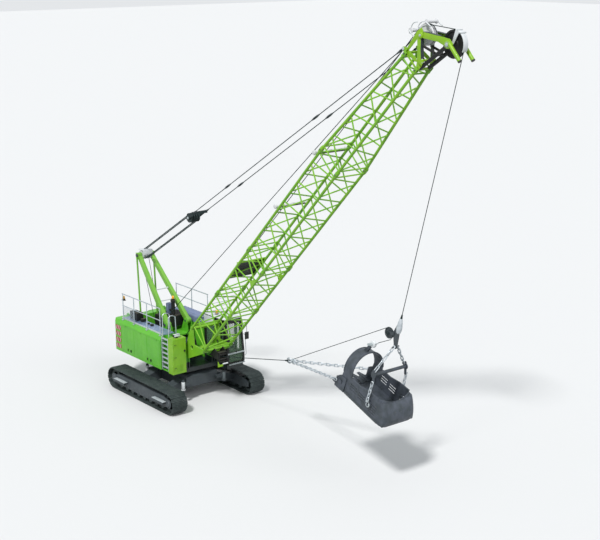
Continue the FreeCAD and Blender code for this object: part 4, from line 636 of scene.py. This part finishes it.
LADDER_X, LADDER_FOOT, RUNGS = 0.695, 1.32, 7
LADDER_Y = (-FLANK + 0.025, -FLANK + 0.095)
steps = Form()
for k in range(RUNGS):
    z = LADDER_FOOT + (k + 0.6) * (ROOF - LADDER_FOOT) / RUNGS
    steps.box(LADDER_X - 0.21, LADDER_X + 0.21, *LADDER_Y, z + 0.0145, z + 0.02)
    for x in evenly(LADDER_X - 0.18, LADDER_X + 0.18, 9):
        steps.box(x - 0.006, x + 0.006, *LADDER_Y, z + 0.02, z + 0.026)
steps.piece("ladder_treads", "upper", light_grey)
grabs = Form()
for x in (0.475, 0.915):
    grabs.tube([(x, -1.34, ROOF - 0.02), (x, -1.34, 3.55), (x, -1.27, 3.62), (x, -1.15, 3.62)], 0.019, 10)
    grabs.tube([(x, -1.15, 3.62), (x, -1.02, 3.55), (x, -0.98, ROOF + 0.05)], 0.019, 10)
grabs.piece("ladder_grab_rails", "upper", silver)


def railing(form, y, rear, front, posts):
    """Round rails, and posts on base plates."""
    top, knee = ROOF + 1.11, ROOF + 0.605
    form.tube([(rear, y, top), (front, y, top)], 0.021, 14)
    form.tube([(rear, y, knee), (front, y, knee)], 0.018, 14)
    for x in posts:
        form.tube([(x, y, ROOF - 0.02), (x, y, top)], 0.020, 12)
        form.box(x - 0.055, x + 0.055, y - 0.05, y + 0.05, ROOF - 0.03, ROOF + 0.004)


RAIL_Y = FLANK - 0.09
rails = Form()
railing(rails, -RAIL_Y, -2.60, 0.34, (-2.56, -1.7, -0.7, 0.3))
railing(rails, RAIL_Y, -2.62, -0.18, (-2.58, -1.4, -0.22))
rails.piece("guard_rails", "upper", silver, replaced=("railings",))

wires = Form()
for x in evenly(-2.52, -1.74, 14):
    wires.tube([(x, -RAIL_Y, ROOF + 0.08), (x, -RAIL_Y, ROOF + 0.60)], 0.004, 4)
for z in evenly(ROOF + 0.08, ROOF + 0.60, 9):
    wires.tube([(-2.54, -RAIL_Y - 0.004, z), (-1.72, -RAIL_Y - 0.004, z)], 0.004, 4)
wires.piece("rail_mesh", "upper", silver)

EXHAUST_X, EXHAUST_Y = -1.02, 0.15
feet, domes = forms(2)
for spot in ((-2.64, -1.2475, 3.512), (EXHAUST_X, EXHAUST_Y, 3.62), (0.88, 1.03, 3.264)):
    feet.lathe(spot, Z, [(0.070, 0), (0.072, 0.02), (0.062, 0.055), (0.058, 0.062)], 28)
    domes.lathe(spot, Z, [(0.054, 0.060), (0.054, 0.13), (0.050, 0.152), (0.038, 0.168), (0.016, 0.175)], 28)
feet.box(-2.705, -2.535, -1.322, -1.182, 3.500, 3.512)
feet.box(1.165, 1.205, -1.20, -1.10, 2.76, 2.815)
feet.box(1.13, 1.225, -1.29, -1.01, 2.81, 2.905)
feet.piece("lamp_feet", "upper", black, 0.003)
domes.piece("beacon_domes", "upper", amber, replaced=("lamps",))
glow = Form()
glow.box(1.2255, 1.236, -1.28, -1.02, 2.82, 2.895)
glow.box(1.13, 1.22, -1.285, -1.015, 2.9052, 2.915)
glow.piece("work_lamp_lens", "upper", lens, 0.003)

kit = Form()
kit.box(-1.405, -1.245, 0.045, 0.255, 2.961, 3.425)
for z in evenly(3.02, 3.36, 5):
    kit.box(-1.412, -1.238, 0.04, 0.26, z, z + 0.018)
kit.piece("silencer_jacket", "upper", hood_paint, 0.006)
pipe = Form()
pipe.tube([(EXHAUST_X, EXHAUST_Y, 2.97), (EXHAUST_X, EXHAUST_Y, 3.55)], 0.079, 24)
pipe.tube([(-1.24, EXHAUST_Y, 3.15), (EXHAUST_X, EXHAUST_Y, 3.15)], 0.05, 16)
for z in (3.05, 3.30, 3.50):
    pipe.lathe((EXHAUST_X, EXHAUST_Y, z), Z, [(0.084, 0), (0.084, 0.025)])
for x in evenly(-1.60, -0.90, 12):
    pipe.box(x, x + 0.03, -0.35, 0.70, 2.9605, 2.972)
pipe.piece("exhaust_pipe", "upper", black)


# ---- winches and gantry

WRAP = 0.027
wraps, rims = forms(2)
for x, z, radius, half in DRUMS:
    turns = int(2 * half / WRAP)
    profile = []
    for k in range(turns):
        start = -half + 0.001 + k * 2 * (half - 0.001) / turns
        profile += [(radius + 0.008, start), (radius + 0.021, start + half / turns)]
    wraps.lathe((x, 0, z), Y, profile + [(radius + 0.008, half - 0.001)], 48)
    for spot in around((x, half + 0.085, z), 0.13, full_turn(12)):
        rims.bolt(spot, Y)
wraps.piece("winch_ropes", "upper", rope_steel, smooth=80)
rims.mirrored().piece("winch_bolts", "upper", bolt_steel)


def leg_end(x, y, z, depth):
    """Section of a box leg, square to its slope."""
    across = Vector((0.72, 0, 0.69)) * (depth / 2)
    return [Vector((x, y, z)) + across * way + Y * (0.075 * out)
            for way, out in ((-1, -1), (1, -1), (1, 1), (-1, 1))]


legs, bars, caps = forms(3)
legs.loops([leg_end(-0.47, 0.50, 2.80, 0.23), leg_end(-2.83, 0.29, 5.24, 0.17)])
legs.lathe(GANTRY_FOOT + Y * 0.40, Y, [(0.13, 0), (0.13, 0.20)], 28)
legs.lathe(GANTRY_HEAD + Y * 0.21, Y, [(0.115, 0), (0.115, 0.17)], 28)
legs.box(-2.97, -2.71, 0.367, 0.383, 5.10, 5.36)
legs.mirrored().box(-2.96, -2.90, -0.30, 0.30, 5.12, 5.20)
legs.piece("gantry_front_legs", "upper", leg_green, 0.006, replaced=("gantry_legs",))
bars.bar((-1.64, 0, 4.00), 0.34, 0.030, 14)
bars.bar((-1.24, 0, 3.60), 0.37, 0.020, 12)
bars.piece("gantry_cross_bars", "upper", white)
caps.lathe(GANTRY_FOOT + Y * 0.355, Y, [(0.045, 0), (0.045, 0.29), (0.065, 0.29), (0.065, 0.31)], 20)
caps.lathe(GANTRY_HEAD + Y * 0.37, Y, [(0.045, 0), (0.045, 0.035), (0.07, 0.035), (0.07, 0.06)], 20)
caps.mirrored().bar(GANTRY_HEAD, 0.37, 0.044, 16)
caps.piece("gantry_pins", "upper", dark_paint)
shield = Form()
shield.box(-2.98, -2.62, -0.235, 0.235, 5.475, 5.495)
shield.box(-2.635, -2.615, -0.235, 0.235, 5.28, 5.475)
shield.piece("gantry_rope_keeper", "upper", white, 0.006)
lift = Form().tube([(-1.90, 0.10, 1.975), (-2.84, 0.17, 5.10)], 0.011, 8)
lift.mirrored().piece("boom_hoist_rope", "upper", rope_steel)


# ---- boom

END_GAP, COLLAR = 0.0005, 0.13


def lattice(form, s0, s1, panels, start, end):
    """Round chords with collars at both ends, and round lacing on all four faces."""
    def corner(s, side, level):
        share = (s - s0) / (s1 - s0)
        width, depth = (a + share * (b - a) for a, b in zip(start, end))
        return boom(s, side * width, level * depth)

    first, last = s0 + END_GAP, s1 - END_GAP
    for side in (-1, 1):
        for level in (-1, 1):
            for a, b, radius in ((first, last, CHORD), (first, s0 + COLLAR, 1.45 * CHORD),
                                 (s1 - COLLAR, last, 1.45 * CHORD)):
                form.tube([corner(a, side, level), corner(b, side, level)], radius, 18)
    inset = COLLAR + BRACE + 0.008
    knots = evenly(s0 + inset, s1 - inset, panels + 1)
    braces = [(knots[k] + 0.055, knots[k + 1] - 0.055, (-1) ** k) for k in range(panels)]
    for left, right, flip in braces + [(knots[0], knots[0], 1), (knots[-1], knots[-1], 1)]:
        for k in (-1, 1):
            form.tube([corner(left, -flip, k), corner(right, flip, k)], BRACE, 10)
            form.tube([corner(left, k, -flip), corner(right, k, flip)], BRACE, 10)
    return form


for (name, panels), (s0, start), (s1, end) in zip(SECTIONS, JOINTS, JOINTS[1:]):
    form = lattice(Form(), s0, s1, panels, start, end)
    form.piece(name + "_tubes", "boom", boom_green, replaced=(name,))
lattice(Form(), 1.3003, JOINTS[0][0], 4, FULL, FULL).piece("boom_foot_tubes", "boom", boom_green)

joints, fasteners = forms(2)
for s, (width, depth) in JOINTS:
    for level in (-1, 1):
        for ear in (-0.045, 0.045):
            joints.slab([boom(s + a, width + ear - 0.006, level * depth + b)
                         for a, b in ((-0.11, -0.06), (0.11, -0.06), (0.11, 0.06), (-0.11, 0.06))], Y * 0.012)
        fasteners.bar(boom(s, width, level * depth), 0.085, 0.026, 14)
joints.mirrored().piece("boom_joint_lugs", "boom", boom_green, 0.003)
fasteners.mirrored().piece("boom_joint_pins", "boom", bolt_steel)

gussets = Form()
gussets.slab(on_boom(FULL[0] + 0.007, (5.86, -0.53), (6.30, -0.53), (6.22, -0.40), (5.98, -0.34)), Y * 0.010)
gussets.mirrored().bar(boom(5.85, 0, 0.60), 0.66, 0.032, 14)
gussets.piece("boom_gussets", "boom", light_green, 0.002)

cable, route = Form(), []
for s in evenly(1.5, 17.4, 30):
    past = s - 12.72 if s > 13 else 0
    route.append(boom(s, -0.60 + 0.066 * past, 0.52 - 0.041 * past))
cable.tube(route, 0.011, 6)
cable.piece("boom_cable", "boom", rubber)

ladder_rungs = Form()
for s in evenly(1.7, 3.6, 7):
    ladder_rungs.bar(boom(s, 0, 0.593), 0.60, 0.010, 8)
ladder_rungs.piece("boom_foot_rungs", "boom", light_grey)

# The black rods just under the white roller ends are painted shade, the dark line beneath each roller.
roller_ends, roller_shade_rods = forms(2)
for s in (9.34, 12.4):
    knob = [(0.02, 0), (0.075, 0.012), (0.088, 0.045), (0.075, 0.08), (0.02, 0.092)]
    roller_ends.lathe(boom(s, 0.655, 0.665), Y, knob, 20)
    roller_shade_rods.bar(boom(s - 0.01, 0, 0.608), 0.64, 0.022, 10)
roller_ends.mirrored().piece("guide_roller_ends", "boom", nylon)
roller_shade_rods.piece("guide_roller_shade_rods", "boom", black)

# Head: keeper rollers and hoops that hold the ropes in the sheaves.
GUIDE_S, GUIDE_N, GUIDE_R = 18.52, 0.285, 0.325
POINT_S, POINT_N, POINT_R = 19.17, -0.68, 0.43
GUIDE, POINT = boom(GUIDE_S, 0, GUIDE_N), boom(POINT_S, 0, POINT_N)
keepers, arms = forms(2)
for centre, half, core, rim, lip in ((boom(18.22, 0, 0.74), 0.22, 0.045, 0.085, 0.095),
                                     (boom(18.92, 0, 0.46), 0.24, 0.050, 0.070, 0.078)):
    keepers.bar(centre, half, core, 20)
    for y in (-0.215, 0.185):
        keepers.lathe(centre + Y * y, Y, [(rim, 0), (lip, 0.008), (lip, 0.022), (rim, 0.03)], 28)
keepers.piece("rope_keeper_rollers", "boom", nylon)
arms.tube(on_boom(0.25, (18.30, 0.42), (18.22, 0.60), (18.22, 0.76)), 0.020, 10)
arms.tube(on_boom(0.25, (18.98, 0.22), (18.92, 0.46)), 0.020, 10)
hoop = around(boom(18.38, 0.15, 0.62), 0.24, evenly(210, 35, 12), ALONG, ABOVE)
arms.tube(hoop, 0.016, 8)
arms.mirrored().bar(hoop[5] - Y * 0.15, 0.15, 0.016, 8)
arms.piece("rope_keeper_hoops", "boom", white)

GUARD_HALF = 0.095
guard = Form()


def on_rim(radius, angle, y=0.0):
    return around(POINT + Y * y, radius, [angle])[0]


guard.loops([[on_rim(radius, angle, y) for radius, y in
              ((0.450, -GUARD_HALF), (0.450, GUARD_HALF), (0.466, GUARD_HALF), (0.466, -GUARD_HALF))]
             for angle in evenly(76, -28, 16)])
for y in (-GUARD_HALF, GUARD_HALF):
    guard.slab([on_rim(radius, angle, y - 0.007) for radius, angle in
                ((0.05, 0), (0.05, 110), (0.468, 74), (0.468, 54))], Y * 0.014)
guard.bar(on_rim(0.480, 48), 0.13, 0.026, 12)
guard.bar(on_rim(0.478, 66), 0.11, 0.018, 10)
guard.piece("point_sheave_guard", "boom", white, 0.002)

head, flanges, ends, nuts = forms(4)
MEMBERS = (
    ((17.64, 0.40), (17.64, 0.32), (18.30, 0.31), (18.46, 0.48)),
    ((18.33, 0.31), (18.46, 0.22), (18.22, -0.01), (18.03, -0.23), (18.07, -0.37), (17.86, -0.40),
     (17.84, -0.18), (17.98, -0.05), (18.12, 0.08)),
    ((18.32, 0.32), (18.46, 0.49), (18.70, 0.43), (18.67, 0.26), (18.50, 0.18)),
    ((18.50, 0.20), (18.67, 0.28), (19.08, -0.26), (19.34, -0.61), (19.335, -0.82), (19.10, -0.80),
     (19.04, -0.62), (18.93, -0.36)),
    ((17.64, 0.39), (17.70, 0.39), (17.70, -0.39), (17.64, -0.39)),
    ((17.64, -0.40), (17.64, -0.31), (17.84, -0.18), (17.90, -0.40)),
    ((17.68, 0.34), (17.82, 0.34), (17.90, -0.06), (17.84, -0.18), (17.78, -0.10)),
)
EDGES = (((18.52, 0.18), (18.93, -0.36)), ((18.93, -0.36), (19.04, -0.62)), ((18.46, 0.22), (18.22, -0.01)),
         ((18.22, -0.01), (18.03, -0.23)), ((18.67, 0.28), (19.08, -0.26)))
LUG = (17.64, 0.36), (17.86, 0.36), (17.76, 0.53), (17.70, 0.565), (17.64, 0.53)
CHEEK = 0.282
for member in MEMBERS:
    head.slab(on_boom(CHEEK - 0.011, *member), Y * 0.022)
head.slab(on_boom(CHEEK - 0.011, *LUG), Y * 0.044)
# Dark strips along the lower edges of the head's members: painted shade.
for edge in EDGES:
    one, two = on_boom(0.16, *edge)
    thick = (two - one).normalized().cross(Y) * 0.012
    flanges.slab([one, two, two + thick, one + thick], Y * 0.13)
prong = boom(POINT_S + 0.025, CHEEK + 0.0005, POINT_N)
head.tube([prong + ALONG * 0.035 - ABOVE * 0.02, prong - ABOVE * 0.68], 0.064, 18)
ends.tube([prong - ABOVE * 0.675, prong - ALONG * 0.001 - ABOVE * 0.695], 0.067, 18)
BOSS, BOSS_END = Y * 0.270, Y * 0.325
head.cap(POINT + BOSS, Y, 0.125, 0.045, 0.11, 0.055, 28)
head.cap(GUIDE + BOSS, Y, 0.10, 0.04, 0.085, 0.055, 28)
nuts.cap(POINT + BOSS_END, Y, 0.062, 0.018, 0.03, 0.03)
nuts.cap(GUIDE + BOSS_END, Y, 0.042, 0.015, 0.02, 0.022)
for spot in around(POINT + BOSS_END, 0.09, full_turn(8), ALONG, ABOVE):
    nuts.bolt(spot, Y, 0.010)
for s, n in ((17.68, 0.36), (17.68, -0.36), (18.0, -0.36)):
    nuts.bolt(boom(s, 0.293, n), Y, 0.018)
head.mirrored()
for s, n, radius, sides in ((17.68, 0.34, 0.045, 14), (17.68, -0.34, 0.045, 14), (18.04, -0.30, 0.035, 12)):
    head.bar(boom(s, 0, n), 0.27, radius, sides)
head.piece("head_frame", "boom", head_green, 0.003, replaced=("boom_head",))
flanges.mirrored().piece("head_flanges_painted_shade", "boom", dark_paint, 0.002)
ends.mirrored().piece("prong_ends", "boom", black)
nuts.mirrored().piece("sheave_shaft_caps", "boom", light_grey)
struts, rods = forms(2)
struts.tube(on_boom(0.20, (17.72, -0.35), (19.06, -0.64)), 0.064, 16)
struts.tube(on_boom(0.16, (18.28, 0.05), (18.50, -0.42)), 0.040, 12)
struts.mirrored().bar(boom(18.50, 0, -0.50), 0.20, 0.045, 12)
struts.piece("head_strut_tubes", "boom", black, replaced=("head_struts",))
for centre in (POINT, GUIDE):
    rods.bar(centre, 0.27, 0.045, 16)
rods.piece("sheave_shafts", "boom", bolt_steel)

# Bracket and white bar beside the fairlead.
bracket, bar = forms(2)
bracket.slab([(2.88, y, z) for y, z in
              ((-0.36, 1.80), (-0.12, 1.80), (-0.12, 1.88), (-0.27, 1.88), (-0.36, 2.04))], X * 0.025)
bar.tube([(2.91, -0.13, 1.90), (2.91, 0.10, 1.90)], 0.028, 14)
bracket.piece("fairlead_bracket", "boom", head_green, 0.003)
bar.piece("fairlead_bar", "boom", white)

# Ropes from the winches to the head and to the fairlead.


def running_rope(name, points, y):
    """A taut rope from its drum over the house to the guide sheave."""
    over_sheave = boom(GUIDE_S - 0.05, y, GUIDE_N + GUIDE_R + 0.010)
    rope = Form().tube(points + [over_sheave], 0.014, 8)
    blended(rope, name, rope_steel)


running_rope("hoist_rope_run", [(-1.98, -0.33, 1.985), (-1.60, -0.385, 2.29), (-0.80, -0.385, 2.955)], 0.065)
running_rope("second_rope_run", [(0.10, -0.12, 2.272)], -0.065)
off = (BRIDLE - GANTRY_HEAD).normalized().cross(Y) * 0.185
falls = Form()
for level in (-off, off):
    falls.tube([GANTRY_HEAD + level + Y * 0.055, BRIDLE + level + Y * 0.055], 0.021, 10)
falls = blended(falls.mirrored(), "boom_hoist_falls", reeving_steel)
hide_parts("reeving_ropes")

ROPE_LIFT, ROPE_Y = 0.006, 0.065
over = Form()
over.tube(around(GUIDE - Y * ROPE_Y, GUIDE_R + ROPE_LIFT, evenly(98, 38, 9), ALONG, ABOVE) +
          around(POINT, POINT_R + ROPE_LIFT, evenly(38, -20, 10), ALONG, ABOVE), 0.013, 8)
over.tube(around(GUIDE + Y * ROPE_Y, GUIDE_R + ROPE_LIFT, evenly(98, -75, 12), ALONG, ABOVE), 0.013, 8)
over.piece("hoist_rope_over_head", "boom", rope_steel)
fairlead, drum_under = Vector((2.45, 0, 2.09)), Vector((-0.62, 0, 1.632))
drag = Form().tube([fairlead.lerp(drum_under, share) for share in evenly(0, 1, 41)], 0.014, 8)
blended(drag, "drag_rope_run", rope_steel)


# ---- stays

sockets, pins = forms(2)
stay = (STAY_PIN - BRIDLE).normalized()
begin = BRIDLE + stay * 0.52
STAY_Y = Y * 0.30


def socket_pair(centre, first, last, wide):
    """A rope socket that widens along the stay, from one distance to another."""
    sockets.tube([centre + stay * along + STAY_Y for along in (first, last)], wide, 14)


for share in (0.20, 0.64):
    spot = begin.lerp(STAY_PIN, share)
    socket_pair(spot, -0.24, -0.08, [0.020, 0.040])
    socket_pair(spot, 0.08, 0.24, [0.040, 0.020])
    sockets.bar(spot + STAY_Y, 0.055, 0.022, 14)
socket_pair(STAY_PIN, -0.36, -0.14, [0.020, 0.042])
socket_pair(begin, 0.08, 0.26, [0.042, 0.020])
sockets.mirrored().piece("pendant_sockets", "boom", dark_paint)
pins.cap(STAY_PIN + Y * 0.318, Y, 0.055, 0.012, 0.03, 0.02, 20)
pins.cap(BRIDLE + Y * 0.252, Y, 0.055, 0.015, 0.03, 0.022, 20)
pins.mirrored().piece("stay_pins", "boom", light_grey)


# ---- chains, hanger and bucket

LINK_BAR, LINK_PITCH, LINK_ROUND = 0.020, 0.19, 0.042


def chain(form, first, last):
    """Round links, each turned a quarter from the last, hooked between two pins along Y."""
    line = (last - first).normalized()
    lean = abs(line.y)
    reach = (0.018 + 0.015 * lean) / math.sqrt(1 - lean * lean) + 0.0003
    first, last = first - line * reach, last + line * reach
    count = 2 * round(((last - first).length / LINK_PITCH - 1) / 2) + 1
    half = (last - first).length / count / 2 + LINK_BAR - LINK_ROUND
    across = (Y - line * line.y).normalized()
    for k in range(count):
        middle = first.lerp(last, (k + 0.5) / count)
        wide = across if k % 2 else line.cross(across)
        path = []
        for end in (1, -1):
            path += around(middle + line * end * half, LINK_ROUND, evenly(-90, 90, 6), line * end, wide * end)
        form.tube(path, LINK_BAR, 8, closed=True)
    return form


TRUNNION, KNUCKLE = Vector((12.15, 0, 3.02)), Vector((12.17, 0, 3.17))
SPREADER, EYE_PIN = Vector((12.38, 0, 4.12)), Vector((12.65, 0, 5.02))
links, hoops = forms(2)
chain(links, EYE_PIN + Y * 0.086, SPREADER + Y * 0.65 + Z * 0.135)
chain(links, SPREADER + Y * 0.767 - Z * 0.26, KNUCKLE + Y * 0.805)
links.mirrored().piece("hoist_chain_links", "boom", chain_steel, replaced=("hoist_chains",))
EYE_FACES = 0.748, 0.778
round_plate(hoops, TRUNNION, KNUCKLE, 0.040, *EYE_FACES)
round_plate(hoops, TRUNNION - X * 0.001, TRUNNION + X * 0.001, 0.085, *EYE_FACES)
pin(hoops, KNUCKLE, EYE_FACES[1], 0.838, 0.018, 1.7)
hoops.mirrored().piece("trunnion_eyes", "boom", light_grey, 0.003)

HITCH, YOKE = Vector((10.582, 0, 3.5116)), Vector((7.05, 0, 3.08))
run = (HITCH - YOKE).normalized()
tail = YOKE + run * 0.17
links, yoke = forms(2)
chain(links, HITCH + Y * 0.81, tail + Y * 0.064)
links.mirrored().piece("drag_chain_links", "drag_chains", chain_steel, replaced=("drag_chains",))
round_plate(yoke, YOKE, tail, 0.062, -0.03, 0.03)
pin(yoke, tail, -0.03, 0.09, 0.018, 1.7)
pin(yoke, tail, 0.03, -0.09, 0.018, 1.7)
for along, up in ((-0.08, Z), (0.06, Y), (0.19, Z)):
    across = run.cross(up + run * 0.3).normalized()
    bow = [YOKE + run * (along + 0.11 * math.cos(a)) + run.cross(across) * (0.095 * math.sin(a))
           for a in evenly(0, math.tau * 15 / 16, 16)]
    yoke.tube(bow, 0.026, 8, closed=True)
yoke.piece("drag_yoke", "drag_chains", chain_steel, 0.003)

# The bucket's forms are drawn level, about its trunnion, and then tipped to the angle it hangs at.
LEVEL = Matrix.Translation(TRUNNION) @ Matrix.Rotation(math.radians(20.9), 4, "Y")
wear, shrouds, studs = forms(3)
wear.box(-1.20, 0.56, 0.7102, 0.722, -0.405, -0.315)
for x in evenly(-1.12, 0.48, 9):
    studs.bolt((x, 0.722, -0.36), Y, 0.016)
for y in evenly(-0.56, 0.56, 5):
    shrouds.slab([(x, y - 0.075, z) for x, z in
                  ((-1.725, -0.44), (-1.725, -0.335), (-1.52, -0.335), (-1.36, -0.353), (-1.36, -0.43),
                   (-1.52, -0.44))], Y * 0.15)
for y in (-0.42, -0.14, 0.14, 0.42):
    shrouds.box(-1.735, -1.50, y - 0.055, y + 0.055, -0.432, -0.350)
wear.mirrored().moved(LEVEL).piece("bucket_wear_plates", "bucket", dark_paint, 0.004)
shrouds.moved(LEVEL).piece("tooth_adapters", "bucket", worn, 0.008)
studs.mirrored().moved(LEVEL).piece("bucket_bolts", "bucket", bolt_steel)

ARCH_LEAN = Matrix.Rotation(math.radians(-12), 3, "Y")
rims = Form()
for x in (-0.215, 0.215):
    foot = Vector((-1.29, 0, 0.38)) + ARCH_LEAN @ X * x
    rims.tube(around(foot, 0.712, evenly(0, 180, 25), Y, ARCH_LEAN @ Z), 0.016, 8)
rims.moved(LEVEL).piece("arch_rims", "bucket", worn)
socket, link = forms(2)
BALL, DUMP_PIN = Vector((11.56, 0, 4.845)), Vector((11.36, 0, 4.79))
socket.lathe(BALL - Y * 0.055, Y, [(0.05, 0), (0.115, 0.008), (0.125, 0.03), (0.125, 0.08), (0.115, 0.102),
                                   (0.05, 0.11)], 32)
socket.tube([BALL + Vector((0.09, 0, 0.035)), BALL + Vector((0.26, 0, 0.11))], [0.05, 0.02], 14)
socket.piece("dump_socket", "bucket", white, 0.004)
for y in (-0.066, 0.054):
    round_plate(link, DUMP_PIN, BALL, 0.045, y, y + 0.012)
pin(link, DUMP_PIN, -0.07, 0.07, 0.02, 1.4)
pin(link, BALL, -0.07, 0.07, 0.022, 1.4)
link.piece("dump_link", "bucket", light_grey, 0.002)
HEEL_HALF, HEEL_FOOT, HEEL_ROUND, HEEL_TURNS = 0.70, -0.375, 0.22, 9


def heel_ring(y):
    """Section of the round cast heel behind the leaning back: outer curve up, then down along the back."""
    top = 0.305 + 0.10 * (y / HEEL_HALF) ** 2
    corner = HEEL_ROUND - math.sqrt(max(0.0, HEEL_ROUND ** 2 - max(0.0, abs(y) - 0.49) ** 2))
    full = 0.165 * (1 - 0.6 * (abs(y) / 0.71) ** 8)
    outer, inner = [], []
    for k in range(HEEL_TURNS + 1):
        share = k / HEEL_TURNS
        z = HEEL_FOOT + (top - HEEL_FOOT) * share
        back = 0.83 - 0.38 * (z + 0.40) / 0.87
        outer.append((back + 0.004 + full * math.sin(math.pi * share) ** 0.8, y, z))
        inner.append((back - 0.006 - corner, y, z))
    return outer + inner[::-1]


heel = Form().loops([heel_ring(y) for y in evenly(-HEEL_HALF, HEEL_HALF, 25)])
heel.moved(LEVEL).piece("bucket_heel", "bucket", worn)
brims = Form()
brims.tube([(x, 0.696, z) for x, z in ((-1.03, 0.325), (-0.61, 0.332), (-0.15, 0.432), (0.33, 0.462))],
           0.022, 10)
brims.mirrored().moved(LEVEL).piece("bucket_brims", "bucket", worn)

BLOCK = Vector((12.34, 0, 5.43))
crown, rim = BALL + Vector((0.24, 0, 0.10)), Vector((12.42, 0, 5.215))
blended(Form().tube([rim, crown], 0.012, 8), "dump_rope_to_arch", rope_steel)
over, hub, wedge = forms(3)
over.tube(around(BLOCK, 0.196, evenly(115, -68, 14)), 0.012, 8)
over.cap(BLOCK - Y * 0.075, -Y, 0.07, 0.012, 0.035, 0.022, 20)
over.piece("dump_block_rope", "boom", rope_steel)
hub.cap(BLOCK + Y * 0.062, Y, 0.045, 0.02, 0.02, 0.03, 20)
hub.mirrored().piece("dump_block_hub", "boom", light_grey)
rise = (Vector((12.86, 0, 5.90)) - Vector((12.73, 0, 5.36))).normalized()
wedge.lathe((12.762, 0, 5.49), rise, [(0.035, 0), (0.080, 0.05), (0.098, 0.16), (0.098, 0.26), (0.078, 0.42),
                                      (0.052, 0.56), (0.03, 0.60)], 24)
wedge.piece("rope_socket", "boom", chain_steel)
back = Form().tube([(12.30, 0, 5.62), (7.25, 0, 3.20)], 0.012, 8)
back.piece("dump_rope_to_yoke", "boom", rope_steel)


# ---- cab

bars, roof_panel, side_panel, wiper, controls = forms(5)
roof_panel.box(0.30, 1.80, 0.765, 1.635, 3.2305, 3.262)
roof_panel.piece("cab_roof_panel", "upper", white, 0.012)
side_panel.box(0.33, 1.02, 0.772, 0.7795, 2.83, 3.20)
side_panel.piece("cab_side_panel", "upper", white, 0.003)
bars.box(1.955, 1.975, 0.80, 1.60, 1.82, 1.88)
bars.box(1.99, 2.05, 0.80, 1.58, 1.395, 1.415)
for y in evenly(0.84, 1.54, 8):
    bars.box(1.985, 2.06, y - 0.02, y + 0.02, 1.415, 1.44)
bars.tube([(1.93, 1.66, 1.65), (1.97, 1.70, 1.70), (1.90, 1.70, 2.50), (1.86, 1.64, 2.55)], 0.014, 10)
bars.piece("cab_bars", "upper", light_grey, 0.002)
wiper.tube([(1.975, 1.20, 1.90), (1.945, 1.12, 2.30), (1.915, 1.10, 2.55)], 0.009, 8)
wiper.tube([(1.955, 1.10, 2.15), (1.895, 1.10, 2.80)], 0.008, 6)
wiper.cap((1.955, 1.20, 1.90), X, 0.03, 0.03, 0.015, 0.04)
for y, root in ((0.74, 0.80), (1.68, 1.62)):
    wiper.tube([(1.90, root, 2.95), (2.05, y, 2.92), (2.05, y, 2.60)], 0.010, 8)
    wiper.box(2.03, 2.07, y - 0.09, y + 0.09, 2.36, 2.66)
wiper.piece("wiper_and_mirrors", "upper", black, 0.004)
for y in (0.88, 1.50):
    controls.box(0.80, 1.35, y - 0.07, y + 0.07, 1.90, 1.99)
    controls.tube([(1.28, y, 1.99), (1.30, y, 2.12)], 0.012, 8)
    controls.lathe((1.30, y, 2.12), Z, [(0.015, 0), (0.026, 0.02), (0.022, 0.06), (0.008, 0.07)], 16)
controls.tube([(1.72, 0.86, 1.44), (1.74, 0.86, 2.15)], 0.03, 10)
for box in ((1.70, 1.74, 0.84, 1.02, 2.10, 2.32), (1.55, 1.88, 0.86, 1.50, 1.46, 1.92),
            (1.40, 1.56, 0.86, 1.02, 1.46, 2.02), (1.40, 1.56, 1.34, 1.50, 1.46, 2.02)):
    controls.box(*box)
controls.piece("cab_controls", "upper", black, 0.006)
